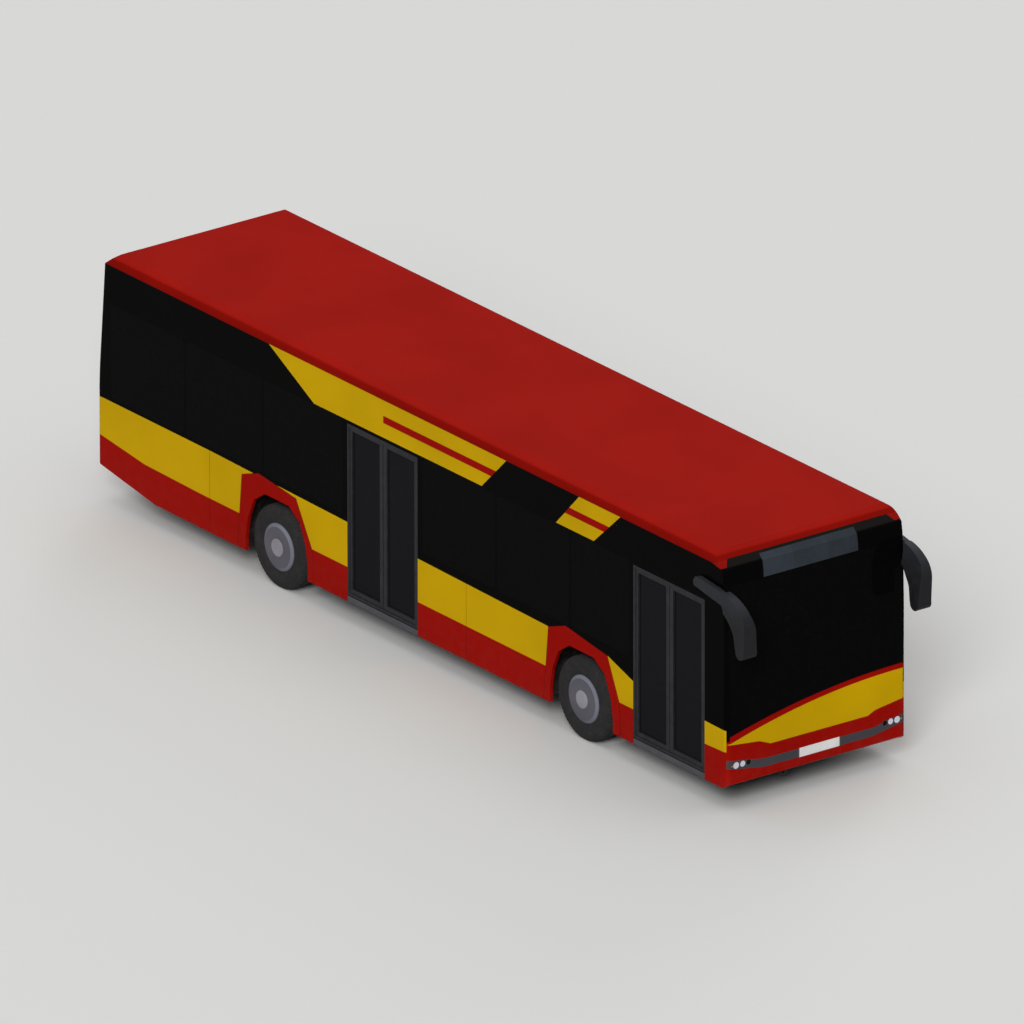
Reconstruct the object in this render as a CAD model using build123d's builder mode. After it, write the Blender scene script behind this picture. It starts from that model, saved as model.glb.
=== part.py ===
from build123d import *
import os

# A low-floor city bus, 12 m long, with two doors on its right side.
# Millimetres. +X is forward, +Y is the driver's left, +Z is up, and z = 0 is the road.
# The origin is under the middle of the whole bus, mirrors included.
# Names that end in _rise are heights above the lower edge of the side panels, and names
# that end in _back are distances behind the front face.

# --- the body -------------------------------------------------------------------------
front_axle_back = 2740
wheelbase = 5800
rear_overhang = 3460
body_length = front_axle_back + wheelbase + rear_overhang
body_width = 2550
body_height = 3110
skirt_height = 285  # road to the lower edge of the side panels
mirror_reach = 400  # the mirrors' reach ahead of the front face
wall = 45  # outside skin, frame tubes and lining together
screen_glass = 8
side_glass = 6
panel_gap = 0.8  # sealed joint between two body panels
fit_gap = 0.3  # between a piece and what it stands on
shut_gap = 6  # round a lid that opens
corner_radius = 70  # body corners, seen from above
roof_edge_drop = 135  # the roof's rounded edge, down from the top
roof_edge_width = 165  # and in from the side

half_width = body_width / 2
body_rear = -(body_length + mirror_reach) / 2
body_front = body_rear + body_length
side_inside = half_width - wall
roof_inside = body_height - wall


def rise(height):
    """Road height of something given above the lower edge of the side panels."""
    return skirt_height + height


def back(distance):
    """Station of something given as a distance behind the front face."""
    return body_front - distance


gutter_z = body_height - roof_edge_drop
header_seam_back, header_seam_z = 190, body_height - 99
windscreen_lean = 75  # the top of the windscreen, behind the front face
windscreen_top_rise = 2430
rear_lean = 170  # the gutter's rear end, ahead of the rear face
rear_lift = 214  # departure slope: how far the rear skirt's end is lifted
departure_run = 1116

side_profile = [
    (body_rear, rise(rear_lift)),
    (body_rear + 54, rise(171)),
    (body_rear + departure_run, skirt_height),
    (back(80), skirt_height),
    (body_front, rise(55)),
    (body_front, rise(950)),
    (back(windscreen_lean), rise(2515)),
    (back(95), body_height - 187),
    (back(header_seam_back), header_seam_z),
    (back(280), body_height),
    (body_rear + 2 * rear_lean, body_height),
    (body_rear + rear_lean, gutter_z),
    (body_rear + 24, rise(980)),
    (body_rear, rise(547)),
]

# --- wheels, axles and doors ----------------------------------------------------------
tyre_radius = 505
tyre_width = 275
tyre_face_inset = 20  # outer tyre wall, inside the body side
twin_gap = 40
rim_radius = 290
arch_half, arch_top = 595, tyre_radius + 592  # the wheel arches' openings
kingpin_inset = 150  # kingpin, inside the front tyre's middle plane

door_width = 1345
door_top_rise = 2190
front_door_back = 1092.5  # doorway middles
middle_door_back = 6514
floor_rise = 70
floor_thickness = 30
wheelhouse_inner = 560  # wheelhouse wall, out from the middle of the bus
wheelhouse_half = 650
wheelhouse_top = arch_top + 45
wheelhouse_plate = 20

axle_x = {"front": back(front_axle_back), "rear": back(front_axle_back + wheelbase)}
door_x = {"front": back(front_door_back), "middle": back(middle_door_back)}
door_top = rise(door_top_rise)
floor_z = rise(floor_rise)
tyre_middle_y = half_width - tyre_face_inset - tyre_width / 2

sides = {"left": 1, "right": -1}
os.makedirs("parts", exist_ok=True)


def save(piece, name):
    """Label one finished piece and write its STEP file."""
    piece.label = name
    export_step(piece, f"parts/{name}.step")


# --- body form and panel zones --------------------------------------------------------
def body_form(inset):
    """The body's shape: side view, cross section and plan together, drawn in by inset."""
    with BuildPart() as form:
        with BuildSketch(Plane.XZ):
            with BuildLine():
                Polyline(*side_profile, close=True)
            make_face()
            if inset:
                offset(amount=-inset, kind=Kind.INTERSECTION)
        extrude(amount=body_width, both=True)
        with BuildSketch(Plane.YZ):
            with BuildLine():
                edge_out, edge_in = half_width - inset, half_width - roof_edge_width
                top = body_height - inset
                mid_y, mid_z = half_width - 43 - 0.85 * inset, gutter_z + 93 - 0.6 * inset
                Line((-edge_out, 0), (edge_out, 0))
                Line((edge_out, 0), (edge_out, gutter_z))
                ThreePointArc((edge_out, gutter_z), (mid_y, mid_z), (edge_in, top))
                Line((edge_in, top), (-edge_in, top))
                ThreePointArc((-edge_in, top), (-mid_y, mid_z), (-edge_out, gutter_z))
                Line((-edge_out, gutter_z), (-edge_out, 0))
            make_face()
        extrude(amount=body_length, both=True, mode=Mode.INTERSECT)
        with BuildSketch(Plane.XY):
            with Locations((body_front - body_length / 2, 0)):
                RectangleRounded(
                    body_length - 2 * inset, body_width - 2 * inset, corner_radius - inset
                )
        extrude(amount=body_height, mode=Mode.INTERSECT)
    return form.part


outer_form = body_form(0)
inner_form = body_form(wall)

with BuildPart() as body_shell:
    add(outer_form)
    add(inner_form, mode=Mode.SUBTRACT)
    with BuildSketch(Plane.XY):
        with Locations((body_front - body_length / 2, 0)):
            RectangleRounded(
                body_length - 2 * wall, body_width - 2 * wall, corner_radius - wall
            )
    extrude(amount=rise(rear_lift + 2 * wall), mode=Mode.SUBTRACT)


def side_zone(points, y_near, y_far):
    """A prism of one side-view outline, from y_near to y_far."""
    with BuildPart() as zone:
        with BuildSketch(Plane.XZ.offset(-y_near)):
            with BuildLine():
                Polyline(*points, close=True)
            make_face()
        extrude(amount=y_near - y_far)
    return zone.part


def block(x_range, y_range, z_range):
    """A plain box between the given limits."""
    with BuildPart() as box:
        with Locations([(sum(x_range) / 2, sum(y_range) / 2, sum(z_range) / 2)]):
            Box(x_range[1] - x_range[0], y_range[1] - y_range[0], z_range[1] - z_range[0])
    return box.part


# The seam under the roof: level along the gutter, a little higher over the front header.
seam_step_back = 250
roof_seam = [
    (body_rear - wall, gutter_z),
    (back(seam_step_back), gutter_z),
    (back(header_seam_back + 10), header_seam_z),
    (body_front + wall, header_seam_z),
]
seam_below = [(x, z - panel_gap) for x, z in roof_seam]

# The waist: the seam between the lower panels and the black window band.
waist = [
    (body_rear - wall, rise(1010)),
    (back(9820), rise(1010)),
    (back(3367), rise(918)),
    (back(2247), rise(920)),
    (door_x["front"] - door_width / 2, rise(763)),
    (door_x["front"] + door_width / 2, rise(717)),
    (body_front + wall, rise(709)),
]
waist_above = [(x, z + panel_gap) for x, z in waist]

# Red wheel arch trims, as outlines in side view about the axle they belong to.
trim_outline = {
    "rear": [(-757, 0), (-670, 917), (-347, 1032), (376, 948), (690, 400), (710, 0)],
    "front": [(-718, 0), (-627, 918), (-300, 1034), (493, 920), (716, 420), (742, 0)],
}


def trim_prism(axle, grow, side):
    """The wheel arch trim's outline, grown by a gap, through one side wall."""
    with BuildPart() as prism:
        with BuildSketch(Plane.XZ):
            with BuildLine():
                points = trim_outline[axle]
                Polyline(*[(axle_x[axle] + x, rise(z)) for x, z in points], close=True)
            make_face()
            if grow:
                offset(amount=grow, kind=Kind.INTERSECTION)
        extrude(amount=-side * body_width)
    return prism.part


below_all = -skirt_height
above_all = body_height + wall
below_waist = waist + [(body_front + wall, below_all), (body_rear - wall, below_all)]
above_waist = waist_above + list(reversed(seam_below))
door_edges = {name: (x - door_width / 2, x + door_width / 2) for name, x in door_x.items()}

# --- roof -------------------------------------------------------------------------------
with BuildPart() as roof:
    add(body_shell.part)
    add(
        side_zone(
            roof_seam + [(body_front + wall, above_all), (body_rear - wall, above_all)],
            body_width,
            -body_width,
        ),
        mode=Mode.INTERSECT,
    )
save(roof.part, "roof")

# --- door sizes -----------------------------------------------------------------------------
door_plane_y = -(half_width - 29)
leaf_thickness = 32
pillar_inset = 21  # pillar axis, in from the doorway's edge
pillar_radius = 14
leaf_near_gap = 21  # pillar axis to the leaf's hanging edge
leaf_meeting_gap = 5  # from the doorway's middle to the leaf's free edge
roller_edge = 12.5  # roller axis to the leaf's free edge
leaf_reach = door_width / 2 - pillar_inset - leaf_meeting_gap
door_arm = (leaf_reach - roller_edge) / 2  # pillar to leaf pivot, half of pillar to roller
leaf_bottom_gap = 45
leaf_top_gap = 50
arm_thickness = 18
arm_width = 26
arm_gap = 9  # arm to leaf, floor and header rail
pin_radius, pin_bore = 8, 8.5
roller_radius = 9
rail_slot, rail_lip = 20, 4
rail_depth = 18
rail_inset = 70
frame_hanging, frame_meeting, frame_bottom, frame_top = 36, 60, 50, 30
pane_thickness, pane_recess = 8, 22

# --- side walls: the window band from the waist to the gutter -------------------------------
window_bottom_rise = 1075
window_top_rise = 2190
driver_window_bottom_rise = 850
pillar = 90
pane_lap = 25  # how far a pane is bonded onto the wall round its opening
window_radius = 60
first_pillar_back = 11750  # rear edge of the rearmost window
pillar_backs = [10300, 8800, 7250, 5770, 4350, 2950, 1810]  # window pillars, rear to front
driver_window_end_back = 430


def window_spans(side):
    """The window openings of one side as (rear end, front end, bottom) in road heights."""
    edges = [back(first_pillar_back)] + [back(p) for p in pillar_backs]
    spans = []
    for rear_end, front_end in zip(edges, edges[1:]):
        spans.append((rear_end + pillar / 2, front_end - pillar / 2, rise(window_bottom_rise)))
    if side > 0:
        last = (edges[-1] + pillar / 2, back(driver_window_end_back))
        spans.append((*last, rise(driver_window_bottom_rise)))
    else:
        middle = door_edges["middle"]
        spans = [s for s in spans if s[1] < middle[0] or s[0] > middle[1]]
    return spans


def window_prism(span, side, grow, radius):
    """A rounded window outline, grown by grow, through one side wall."""
    x_from, x_to, z_from = span
    z_to = rise(window_top_rise)
    with BuildPart() as prism:
        with BuildSketch(Plane.XZ):
            with Locations(((x_from + x_to) / 2, (z_from + z_to) / 2)):
                RectangleRounded(x_to - x_from + 2 * grow, z_to - z_from + 2 * grow, radius)
        extrude(amount=-side * body_width)
    return prism.part


for side_name, side in sides.items():
    side_slab = sorted((side * side_inside, side * body_width))
    with BuildPart() as side_wall:
        add(body_shell.part)
        add(side_zone(above_waist, *side_slab), mode=Mode.INTERSECT)
        for axle in axle_x:
            add(trim_prism(axle, panel_gap, side), mode=Mode.SUBTRACT)
        for span in window_spans(side):
            add(window_prism(span, side, 0, window_radius), mode=Mode.SUBTRACT)
        if side < 0:
            for rear_edge, front_edge in door_edges.values():
                add(
                    block((rear_edge, front_edge), side_slab, (0, door_top)),
                    mode=Mode.SUBTRACT,
                )
                for lip_side in (-1, 1):
                    lip_y = door_plane_y + lip_side * (rail_slot + rail_lip) / 2
                    add(
                        block(
                            (rear_edge + rail_inset, front_edge - rail_inset),
                            (lip_y - rail_lip / 2, lip_y + rail_lip / 2),
                            (door_top - rail_depth, door_top),
                        )
                    )
        with BuildSketch(Plane.XZ.offset(-side * (half_width - side_glass - fit_gap))):
            for span in window_spans(side):
                x_from, x_to, z_from = span
                z_to = rise(window_top_rise)
                grow = pane_lap + fit_gap
                with Locations(((x_from + x_to) / 2, (z_from + z_to) / 2)):
                    RectangleRounded(
                        x_to - x_from + 2 * grow, z_to - z_from + 2 * grow, window_radius
                    )
        extrude(amount=-side * 2 * side_glass, mode=Mode.SUBTRACT)
    save(side_wall.part, f"{side_name}_side")

with BuildPart() as side_windows:
    for side in sides.values():
        with BuildSketch(Plane.XZ.offset(-side * (half_width - side_glass))):
            for x_from, x_to, z_from in window_spans(side):
                z_to = rise(window_top_rise)
                with Locations(((x_from + x_to) / 2, (z_from + z_to) / 2)):
                    RectangleRounded(
                        x_to - x_from + 2 * pane_lap, z_to - z_from + 2 * pane_lap, window_radius
                    )
        extrude(amount=-side * side_glass)
save(side_windows.part, "side_windows")

# --- lower side panels and wheel arch trims ---------------------------------------------
panel_seam_backs = [9827, 4920]
arch_shoulder_x, arch_shoulder_drop = 230, 2  # ends of the level top edge
arch_bend_x, arch_bend_drop = 438, 140
arch_side_x, arch_side_drop = 552, 394
arch_foot_drop = 640


def arch_opening(axle):
    """The outline of a wheel arch's opening in side view, flat on top with sloping shoulders."""
    outline = [
        (arch_half, below_all),
        (arch_half, arch_top - arch_foot_drop),
        (arch_side_x, arch_top - arch_side_drop),
        (arch_bend_x, arch_top - arch_bend_drop),
        (arch_shoulder_x, arch_top - arch_shoulder_drop),
        (0, arch_top),
    ]
    right = [(axle_x[axle] + x, z) for x, z in outline]
    left = [(axle_x[axle] - x, z) for x, z in reversed(outline[:-1])]
    return right + left


def skirt_side(side):
    """The lower panels of one side, cut by the arch trims, the seams and the doorways."""
    side_slab = sorted((side * side_inside, side * body_width))
    with BuildPart() as panels:
        add(body_shell.part)
        add(side_zone(below_waist, *side_slab), mode=Mode.INTERSECT)
        for axle in axle_x:
            add(trim_prism(axle, panel_gap, side), mode=Mode.SUBTRACT)
        for seam_back in panel_seam_backs:
            x = back(seam_back)
            add(block((x, x + panel_gap), side_slab, (0, body_height)), mode=Mode.SUBTRACT)
        if side < 0:
            for edges in door_edges.values():
                add(block(edges, side_slab, (0, body_height)), mode=Mode.SUBTRACT)
    return panels.part


def arch_trim(axle, side):
    """The panel round one wheel arch."""
    side_slab = sorted((side * side_inside, side * body_width))
    with BuildPart() as trim:
        add(body_shell.part)
        add(block((body_rear, body_front), side_slab, (0, gutter_z)), mode=Mode.INTERSECT)
        add(trim_prism(axle, 0, side), mode=Mode.INTERSECT)
        with BuildSketch(Plane.XZ):
            with BuildLine():
                Polyline(*arch_opening(axle), close=True)
            make_face()
        extrude(amount=body_width, both=True, mode=Mode.SUBTRACT)
    return trim.part


skirt_sides = [skirt_side(side) for side in sides.values()]
with BuildPart() as skirt_panels:
    add(skirt_sides)
save(skirt_panels.part, "skirt_panels")

arch_trims = [arch_trim(axle, side) for side in sides.values() for axle in axle_x]
with BuildPart() as wheel_arch_trims:
    add(arch_trims)
save(wheel_arch_trims.part, "wheel_arch_trims")

# --- front: lower mask, windscreen, header and destination display ----------------------------
screen_edge_right, screen_edge_middle = (-half_width, 620), (-235, 840)
screen_edge_left = (half_width, 952)
front_reach = 330
display_width = 1340
display_middle_y = -30
display_bottom_rise = 2440
display_top_rise = 2700
display_depth = 10
plate_width, plate_height, plate_thickness = 580, 112, 3
plate_rise = 208
plate_middle_y = 38
headlamps = [(1145, 45), (1052, 40), (970, 36), (1203, 11)]  # out from the middle, radius
headlamp_rise = 272
headlamp_depth = 35
header_z = rise(windscreen_top_rise)
front_span = side_inside - panel_gap


def front_zone(edge_shift, above):
    """The front region above or below the windscreen's curved lower edge."""
    with BuildPart() as zone:
        with BuildSketch(Plane.YZ.offset(body_front - front_reach)):
            with BuildLine():
                curve = [
                    (y, rise(z) + edge_shift)
                    for y, z in (screen_edge_right, screen_edge_middle, screen_edge_left)
                ]
                far_z = header_z if above else 0
                ThreePointArc(*curve)
                Line(curve[2], (curve[2][0], far_z))
                Line((curve[2][0], far_z), (curve[0][0], far_z))
                Line((curve[0][0], far_z), curve[0])
            make_face()
        extrude(amount=front_reach + wall)
        add(
            block((0, body_front + wall), (-front_span, front_span), (0, body_height)),
            mode=Mode.INTERSECT,
        )
    return zone.part


with BuildPart() as front_mask:
    add(body_shell.part)
    add(front_zone(0, above=False), mode=Mode.INTERSECT)
    with BuildSketch(Plane.YZ.offset(body_front - plate_thickness - fit_gap)):
        with Locations((plate_middle_y, rise(plate_rise))):
            Rectangle(plate_width + 2 * fit_gap, plate_height + 2 * fit_gap)
    extrude(amount=wall, mode=Mode.SUBTRACT)
    with BuildSketch(Plane.YZ.offset(body_front - headlamp_depth - fit_gap)):
        for side in sides.values():
            for y, radius in headlamps:
                with Locations((side * y, rise(headlamp_rise))):
                    Circle(radius + fit_gap)
    extrude(amount=wall, mode=Mode.SUBTRACT)
save(front_mask.part, "front_mask")

screen_back_form = body_form(screen_glass)
with BuildPart() as windscreen:
    add(outer_form)
    add(screen_back_form, mode=Mode.SUBTRACT)
    add(front_zone(panel_gap, above=True), mode=Mode.INTERSECT)
save(windscreen.part, "windscreen")

display_form = body_form(display_depth)
display_box_x = (body_front - front_reach, body_front + wall)


def display_skin(grow):
    """The slice of the header's outer skin that the display window fills."""
    half = display_width / 2 + grow
    with BuildPart() as skin:
        add(outer_form)
        add(display_form, mode=Mode.SUBTRACT)
        add(
            block(
                display_box_x,
                (display_middle_y - half, display_middle_y + half),
                (rise(display_bottom_rise) - grow, rise(display_top_rise) + grow),
            ),
            mode=Mode.INTERSECT,
        )
    return skin.part


with BuildPart() as front_header:
    add(body_shell.part)
    add(
        side_zone(
            [(back(front_reach), header_z + panel_gap), (body_front + wall, header_z + panel_gap)]
            + list(reversed(seam_below[1:]))
            + [(back(front_reach), gutter_z - panel_gap)],
            front_span,
            -front_span,
        ),
        mode=Mode.INTERSECT,
    )
    add(display_skin(fit_gap), mode=Mode.SUBTRACT)
save(front_header.part, "front_header")

with BuildPart() as destination_display:
    add(display_skin(0))
    add(display_form, mode=Mode.SUBTRACT)
save(destination_display.part, "destination_display")

# --- rear: wall, window, engine lid, lamps ----------------------------------------------------
rear_reach = 260
rear_window_width, rear_window_bottom_rise, rear_window_top_rise = 1860, 1560, 2260
lid_half, lid_bottom_rise, lid_top_rise = 880, 470, 1300
rear_lamp_y, rear_lamp_width = 1120, 130
rear_lamp_bottom_rise, rear_lamp_top_rise = 620, 1240
lamp_depth = 25
hinge_radius = 9
hinge_length = 60
hinge_places = (-600, 600)
hinge_clear = 12  # hinge line, outside the rear face
hinge_leaf, hinge_leaf_thickness = 36, 6
hinge_pitch = hinge_length + fit_gap
rear_plate_rise = 340


def rear_face_x(height):
    """The rear face's station at a height above the side panels' lower edge."""
    low_z, high_z = 980, gutter_z - skirt_height
    share = (height - low_z) / (high_z - low_z)
    return body_rear + 24 + share * (rear_lean - 24)


def rear_zone(y_half, z_range):
    """A box through the rear wall."""
    x_range = (body_rear - wall, body_rear + rear_reach)
    return block(x_range, (-y_half, y_half), z_range)


lid_hinge_x = rear_face_x(lid_top_rise) - hinge_clear
lid_hinge_z = rise(lid_top_rise) + shut_gap


def hinge_parts(shifts, leaf_up):
    """Hinge barrels on the lid's hinge line, each with a short leaf up or down."""
    leaf_z = (lid_hinge_z, lid_hinge_z + hinge_leaf) if leaf_up else (
        lid_hinge_z - hinge_leaf, lid_hinge_z
    )
    leaf_x = (lid_hinge_x - hinge_leaf_thickness / 2, lid_hinge_x + hinge_clear + 6)
    with BuildPart() as knuckles:
        for shift in shifts:
            for place in hinge_places:
                y = place + shift
                with BuildSketch(Plane.XZ.offset(-y - hinge_length / 2)):
                    with Locations((lid_hinge_x, lid_hinge_z)):
                        Circle(hinge_radius)
                extrude(amount=hinge_length)
                add(block(leaf_x, (y - hinge_length / 2, y + hinge_length / 2), leaf_z))
    return knuckles.part


def rear_window_prism(shrink):
    """The rear window's outline through the rear wall."""
    with BuildPart() as prism:
        with BuildSketch(Plane.YZ.offset(body_rear - wall)):
            with Locations((0, rise((rear_window_bottom_rise + rear_window_top_rise) / 2))):
                RectangleRounded(
                    rear_window_width - 2 * shrink,
                    rear_window_top_rise - rear_window_bottom_rise - 2 * shrink,
                    window_radius,
                )
        extrude(amount=rear_reach + wall)
    return prism.part


def tail_lamp_skin(grow):
    """The slices of the rear wall's skin that the two lamp clusters fill."""
    with BuildPart() as skin:
        for side in sides.values():
            y_from = side * rear_lamp_y - rear_lamp_width / 2 - grow
            add(
                block(
                    (body_rear - wall, body_rear + rear_reach),
                    (y_from, y_from + rear_lamp_width + 2 * grow),
                    (rise(rear_lamp_bottom_rise) - grow, rise(rear_lamp_top_rise) + grow),
                )
            )
        add(outer_form, mode=Mode.INTERSECT)
        add(lamp_form, mode=Mode.SUBTRACT)
    return skin.part


lamp_form = body_form(lamp_depth)
with BuildPart() as rear_wall:
    add(body_shell.part)
    add(rear_zone(front_span, (0, gutter_z - panel_gap)), mode=Mode.INTERSECT)
    add(
        rear_zone(lid_half + shut_gap, (rise(lid_bottom_rise) - shut_gap, lid_hinge_z)),
        mode=Mode.SUBTRACT,
    )
    add(rear_window_prism(0), mode=Mode.SUBTRACT)
    add(tail_lamp_skin(fit_gap), mode=Mode.SUBTRACT)
    with BuildSketch(Plane.YZ.offset(body_rear + plate_thickness + fit_gap)):
        with Locations((0, rise(rear_plate_rise))):
            Rectangle(plate_width + 2 * fit_gap, plate_height + 2 * fit_gap)
    extrude(amount=-wall, mode=Mode.SUBTRACT)
    add(hinge_parts((-hinge_pitch, hinge_pitch), leaf_up=True))
save(rear_wall.part, "rear_wall")

with BuildPart() as engine_lid:
    add(body_shell.part)
    add(
        rear_zone(lid_half, (rise(lid_bottom_rise), rise(lid_top_rise))),
        mode=Mode.INTERSECT,
    )
    add(hinge_parts((0,), leaf_up=False))
save(engine_lid.part, "engine_lid")

with BuildPart() as rear_window:
    add(outer_form)
    add(screen_back_form, mode=Mode.SUBTRACT)
    add(rear_window_prism(panel_gap), mode=Mode.INTERSECT)
    add(rear_zone(half_width, (0, gutter_z)), mode=Mode.INTERSECT)
save(rear_window.part, "rear_window")

tail_lamps = tail_lamp_skin(0)
save(tail_lamps, "tail_lights")

with BuildPart() as licence_plates:
    with BuildSketch(Plane.YZ.offset(body_front - plate_thickness)):
        with Locations((plate_middle_y, rise(plate_rise))):
            Rectangle(plate_width, plate_height)
    extrude(amount=plate_thickness)
    with BuildSketch(Plane.YZ.offset(body_rear)):
        with Locations((0, rise(rear_plate_rise))):
            Rectangle(plate_width, plate_height)
    extrude(amount=plate_thickness)
save(licence_plates.part, "licence_plates")

with BuildPart() as headlights:
    with BuildSketch(Plane.YZ.offset(body_front - headlamp_depth)):
        for side in sides.values():
            for y, radius in headlamps:
                with Locations((side * y, rise(headlamp_rise))):
                    Circle(radius)
    extrude(amount=headlamp_depth)
save(headlights.part, "headlights")

# --- floor, wheelhouses and underframe --------------------------------------------------------
floor_edge = side_inside - fit_gap
step_back = front_axle_back + wheelbase + 740  # riser of the step behind the rear wheels
step_rise = 230
deck_back = step_back + 1170  # riser of the engine deck
deck_rise = 860
riser = 25
front_floor_back = wall + 25
sill_depth = 30
sill_gap = 3
floor_bottom = floor_z - floor_thickness
deck_z = rise(deck_rise)
step_z = rise(step_rise)
bulkhead_x = body_rear + 520  # closes the engine space behind the last seats
shelf_z = rise(1370)
shelf_rear = 120


def wheelhouse_box(axle, side, inset):
    """The box over one axle end's wheels, drawn in by a plate's thickness."""
    x = axle_x[axle]
    return block(
        (x - wheelhouse_half + inset, x + wheelhouse_half - inset),
        sorted((side * (wheelhouse_inner + inset), side * (floor_edge + abs(inset)))),
        (floor_bottom - abs(inset), wheelhouse_top - inset),
    )


with BuildPart() as floor:
    add(
        block(
            (back(step_back) + riser + fit_gap, back(front_floor_back)),
            (-floor_edge, floor_edge),
            (floor_bottom, floor_z),
        )
    )
    for axle in axle_x:
        for side in sides.values():
            add(wheelhouse_box(axle, side, -fit_gap), mode=Mode.SUBTRACT)
    for edges in door_edges.values():
        add(
            block(
                (edges[0] + sill_gap, edges[1] - sill_gap),
                (-half_width + sill_depth / 2, -floor_edge + 1),
                (skirt_height, floor_z),
            )
        )
save(floor.part, "floor")

with BuildPart() as wheelhouses:
    for axle in axle_x:
        for side in sides.values():
            add(wheelhouse_box(axle, side, 0))
            add(wheelhouse_box(axle, side, wheelhouse_plate), mode=Mode.SUBTRACT)
save(wheelhouses.part, "wheelhouses")

# Each plate of the rear deck, rear to front, as its stations and its heights.
deck_bottom, step_bottom = deck_z - floor_thickness, step_z - floor_thickness
deck_plates = [
    ((body_rear + shelf_rear, bulkhead_x + riser), (shelf_z - riser, shelf_z)),
    ((bulkhead_x, bulkhead_x + riser), (deck_bottom, shelf_z)),
    ((bulkhead_x, back(deck_back)), (deck_bottom, deck_z)),
    ((back(deck_back) - riser, back(deck_back)), (step_bottom, deck_z)),
    ((back(deck_back) - riser, back(step_back) + riser), (step_bottom, step_z)),
    ((back(step_back), back(step_back) + riser), (floor_bottom, step_z)),
]
with BuildPart() as rear_deck:
    for x_range, z_range in deck_plates:
        add(block(x_range, (-floor_edge, floor_edge), z_range))
save(rear_deck.part, "rear_deck")

rail_y, rail_width = 380, 70
rail_bottom = skirt_height + 5
cross_member_width = 60
rail_front_back = 120
carrier_bottom, carrier_top = rise(235), rise(295)
cross_member_pitch = 900
rail_rear, rail_slope_back = 120, 10800
tow_bore, tow_lug_length, tow_lug_size = 36, 60, 80
rear_tow_drop = 160  # keeps the rear towing eye below the rear wall
tow_lug_y = 380

rail_outline = [
    (back(rail_front_back), rail_bottom),
    (back(rail_slope_back), rail_bottom),
    (body_rear + rail_rear + 180, carrier_bottom),
    (body_rear + rail_rear, carrier_bottom),
    (body_rear + rail_rear, carrier_top),
    (back(deck_back + 30), carrier_top),
    (back(deck_back + 30), step_bottom),
    (back(step_back), step_bottom),
    (back(step_back), floor_bottom),
    (back(rail_front_back), floor_bottom),
]
between_rails = (-rail_y + rail_width / 2 + fit_gap, rail_y - rail_width / 2 - fit_gap)


def cross_member(x, z_range, reach):
    """One cross member: a bar between the frame rails and one outside each, out to reach."""
    x_range = (x - cross_member_width / 2, x + cross_member_width / 2)
    inner = rail_y + rail_width / 2 + fit_gap
    y_ranges = [between_rails]
    if reach > inner:
        y_ranges += [(inner, reach), (-reach, -inner)]
    return [block(x_range, y_range, z_range) for y_range in y_ranges]


with BuildPart() as underframe:
    for side in sides.values():
        y = side * rail_y
        add(side_zone(rail_outline, y + rail_width / 2, y - rail_width / 2))
    for place in range(int((step_back - rail_front_back) // cross_member_pitch) + 1):
        x = back(rail_front_back + cross_member_width + place * cross_member_pitch)
        near_wheels = any(abs(x - axle) < wheelhouse_half + cross_member_width
                          for axle in axle_x.values())
        reach = 0 if near_wheels else floor_edge - wall
        add(cross_member(x, (rail_bottom, floor_bottom), reach))
    for x in (back(10700), body_rear + 200):
        add(cross_member(x, (carrier_bottom, carrier_top), floor_edge))
    for x, inward, top, drop in (
        (back(rail_front_back), -1, rail_bottom, tow_lug_size),
        (body_rear + rail_rear, 1, carrier_bottom, rear_tow_drop),
    ):
        x_range = sorted((x, x + inward * tow_lug_length))
        y_range = (-tow_lug_y - tow_lug_size / 2, -tow_lug_y + tow_lug_size / 2)
        add(block(x_range, y_range, (top - drop, top)))
        with BuildSketch(Plane.YZ.offset(x_range[0])):
            with Locations((-tow_lug_y, top - drop + tow_lug_size / 2)):
                Circle(tow_bore / 2)
        extrude(amount=tow_lug_length, mode=Mode.SUBTRACT)
save(underframe.part, "underframe")

engine_length, engine_width = 1230, 1000
engine_top_gap = 30
with BuildPart() as engine:
    x = body_rear + 260
    add(
        block(
            (x, x + engine_length),
            (-engine_width / 2, engine_width / 2),
            (carrier_top + fit_gap, deck_z - floor_thickness - engine_top_gap),
        )
    )
save(engine.part, "engine")

# --- axles, knuckles and air springs ----------------------------------------------------------
beam_height, beam_half = 90, 55
beam_top = rail_bottom - 5
beam_bottom = beam_top - beam_height
spring_y, spring_radius, spring_offset = 490, 65, 300
spring_seat_thickness = 20
kingpin_y = tyre_middle_y - kingpin_inset
yoke_boss, yoke_height, yoke_lug = 42, 150, 30
yoke_post = (kingpin_y - 92, kingpin_y - 50)
spindle_radius = 38
hub_inner_face = kingpin_y + 127.5
brake_radius, brake_thickness, brake_y = 195, 34, kingpin_y + 72.5
inner_twin_y = tyre_middle_y - tyre_width - twin_gap  # middle of the inner rear tyre
portal_radius, portal_y = 230, (inner_twin_y - 155, inner_twin_y - 47.5)
portal_post = (inner_twin_y - 205, inner_twin_y - 148)  # carries the portal, inside the tyres
rear_hub_inner_face = inner_twin_y - 27.5


def round_bar(x, z, radius, y_from, y_to):
    """A round bar across the bus, from y_from to y_to."""
    with BuildPart() as bar:
        with BuildSketch(Plane.XZ.offset(-y_from)):
            with Locations((x, z)):
                Circle(radius)
        extrude(amount=y_from - y_to)
    return bar.part


def upright(x, y, radius, z_from, z_to):
    """A round bar standing upright."""
    with BuildPart() as bar:
        with BuildSketch(Plane.XY.offset(z_from)):
            with Locations((x, y)):
                Circle(radius)
        extrude(amount=z_to - z_from)
    return bar.part


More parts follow.
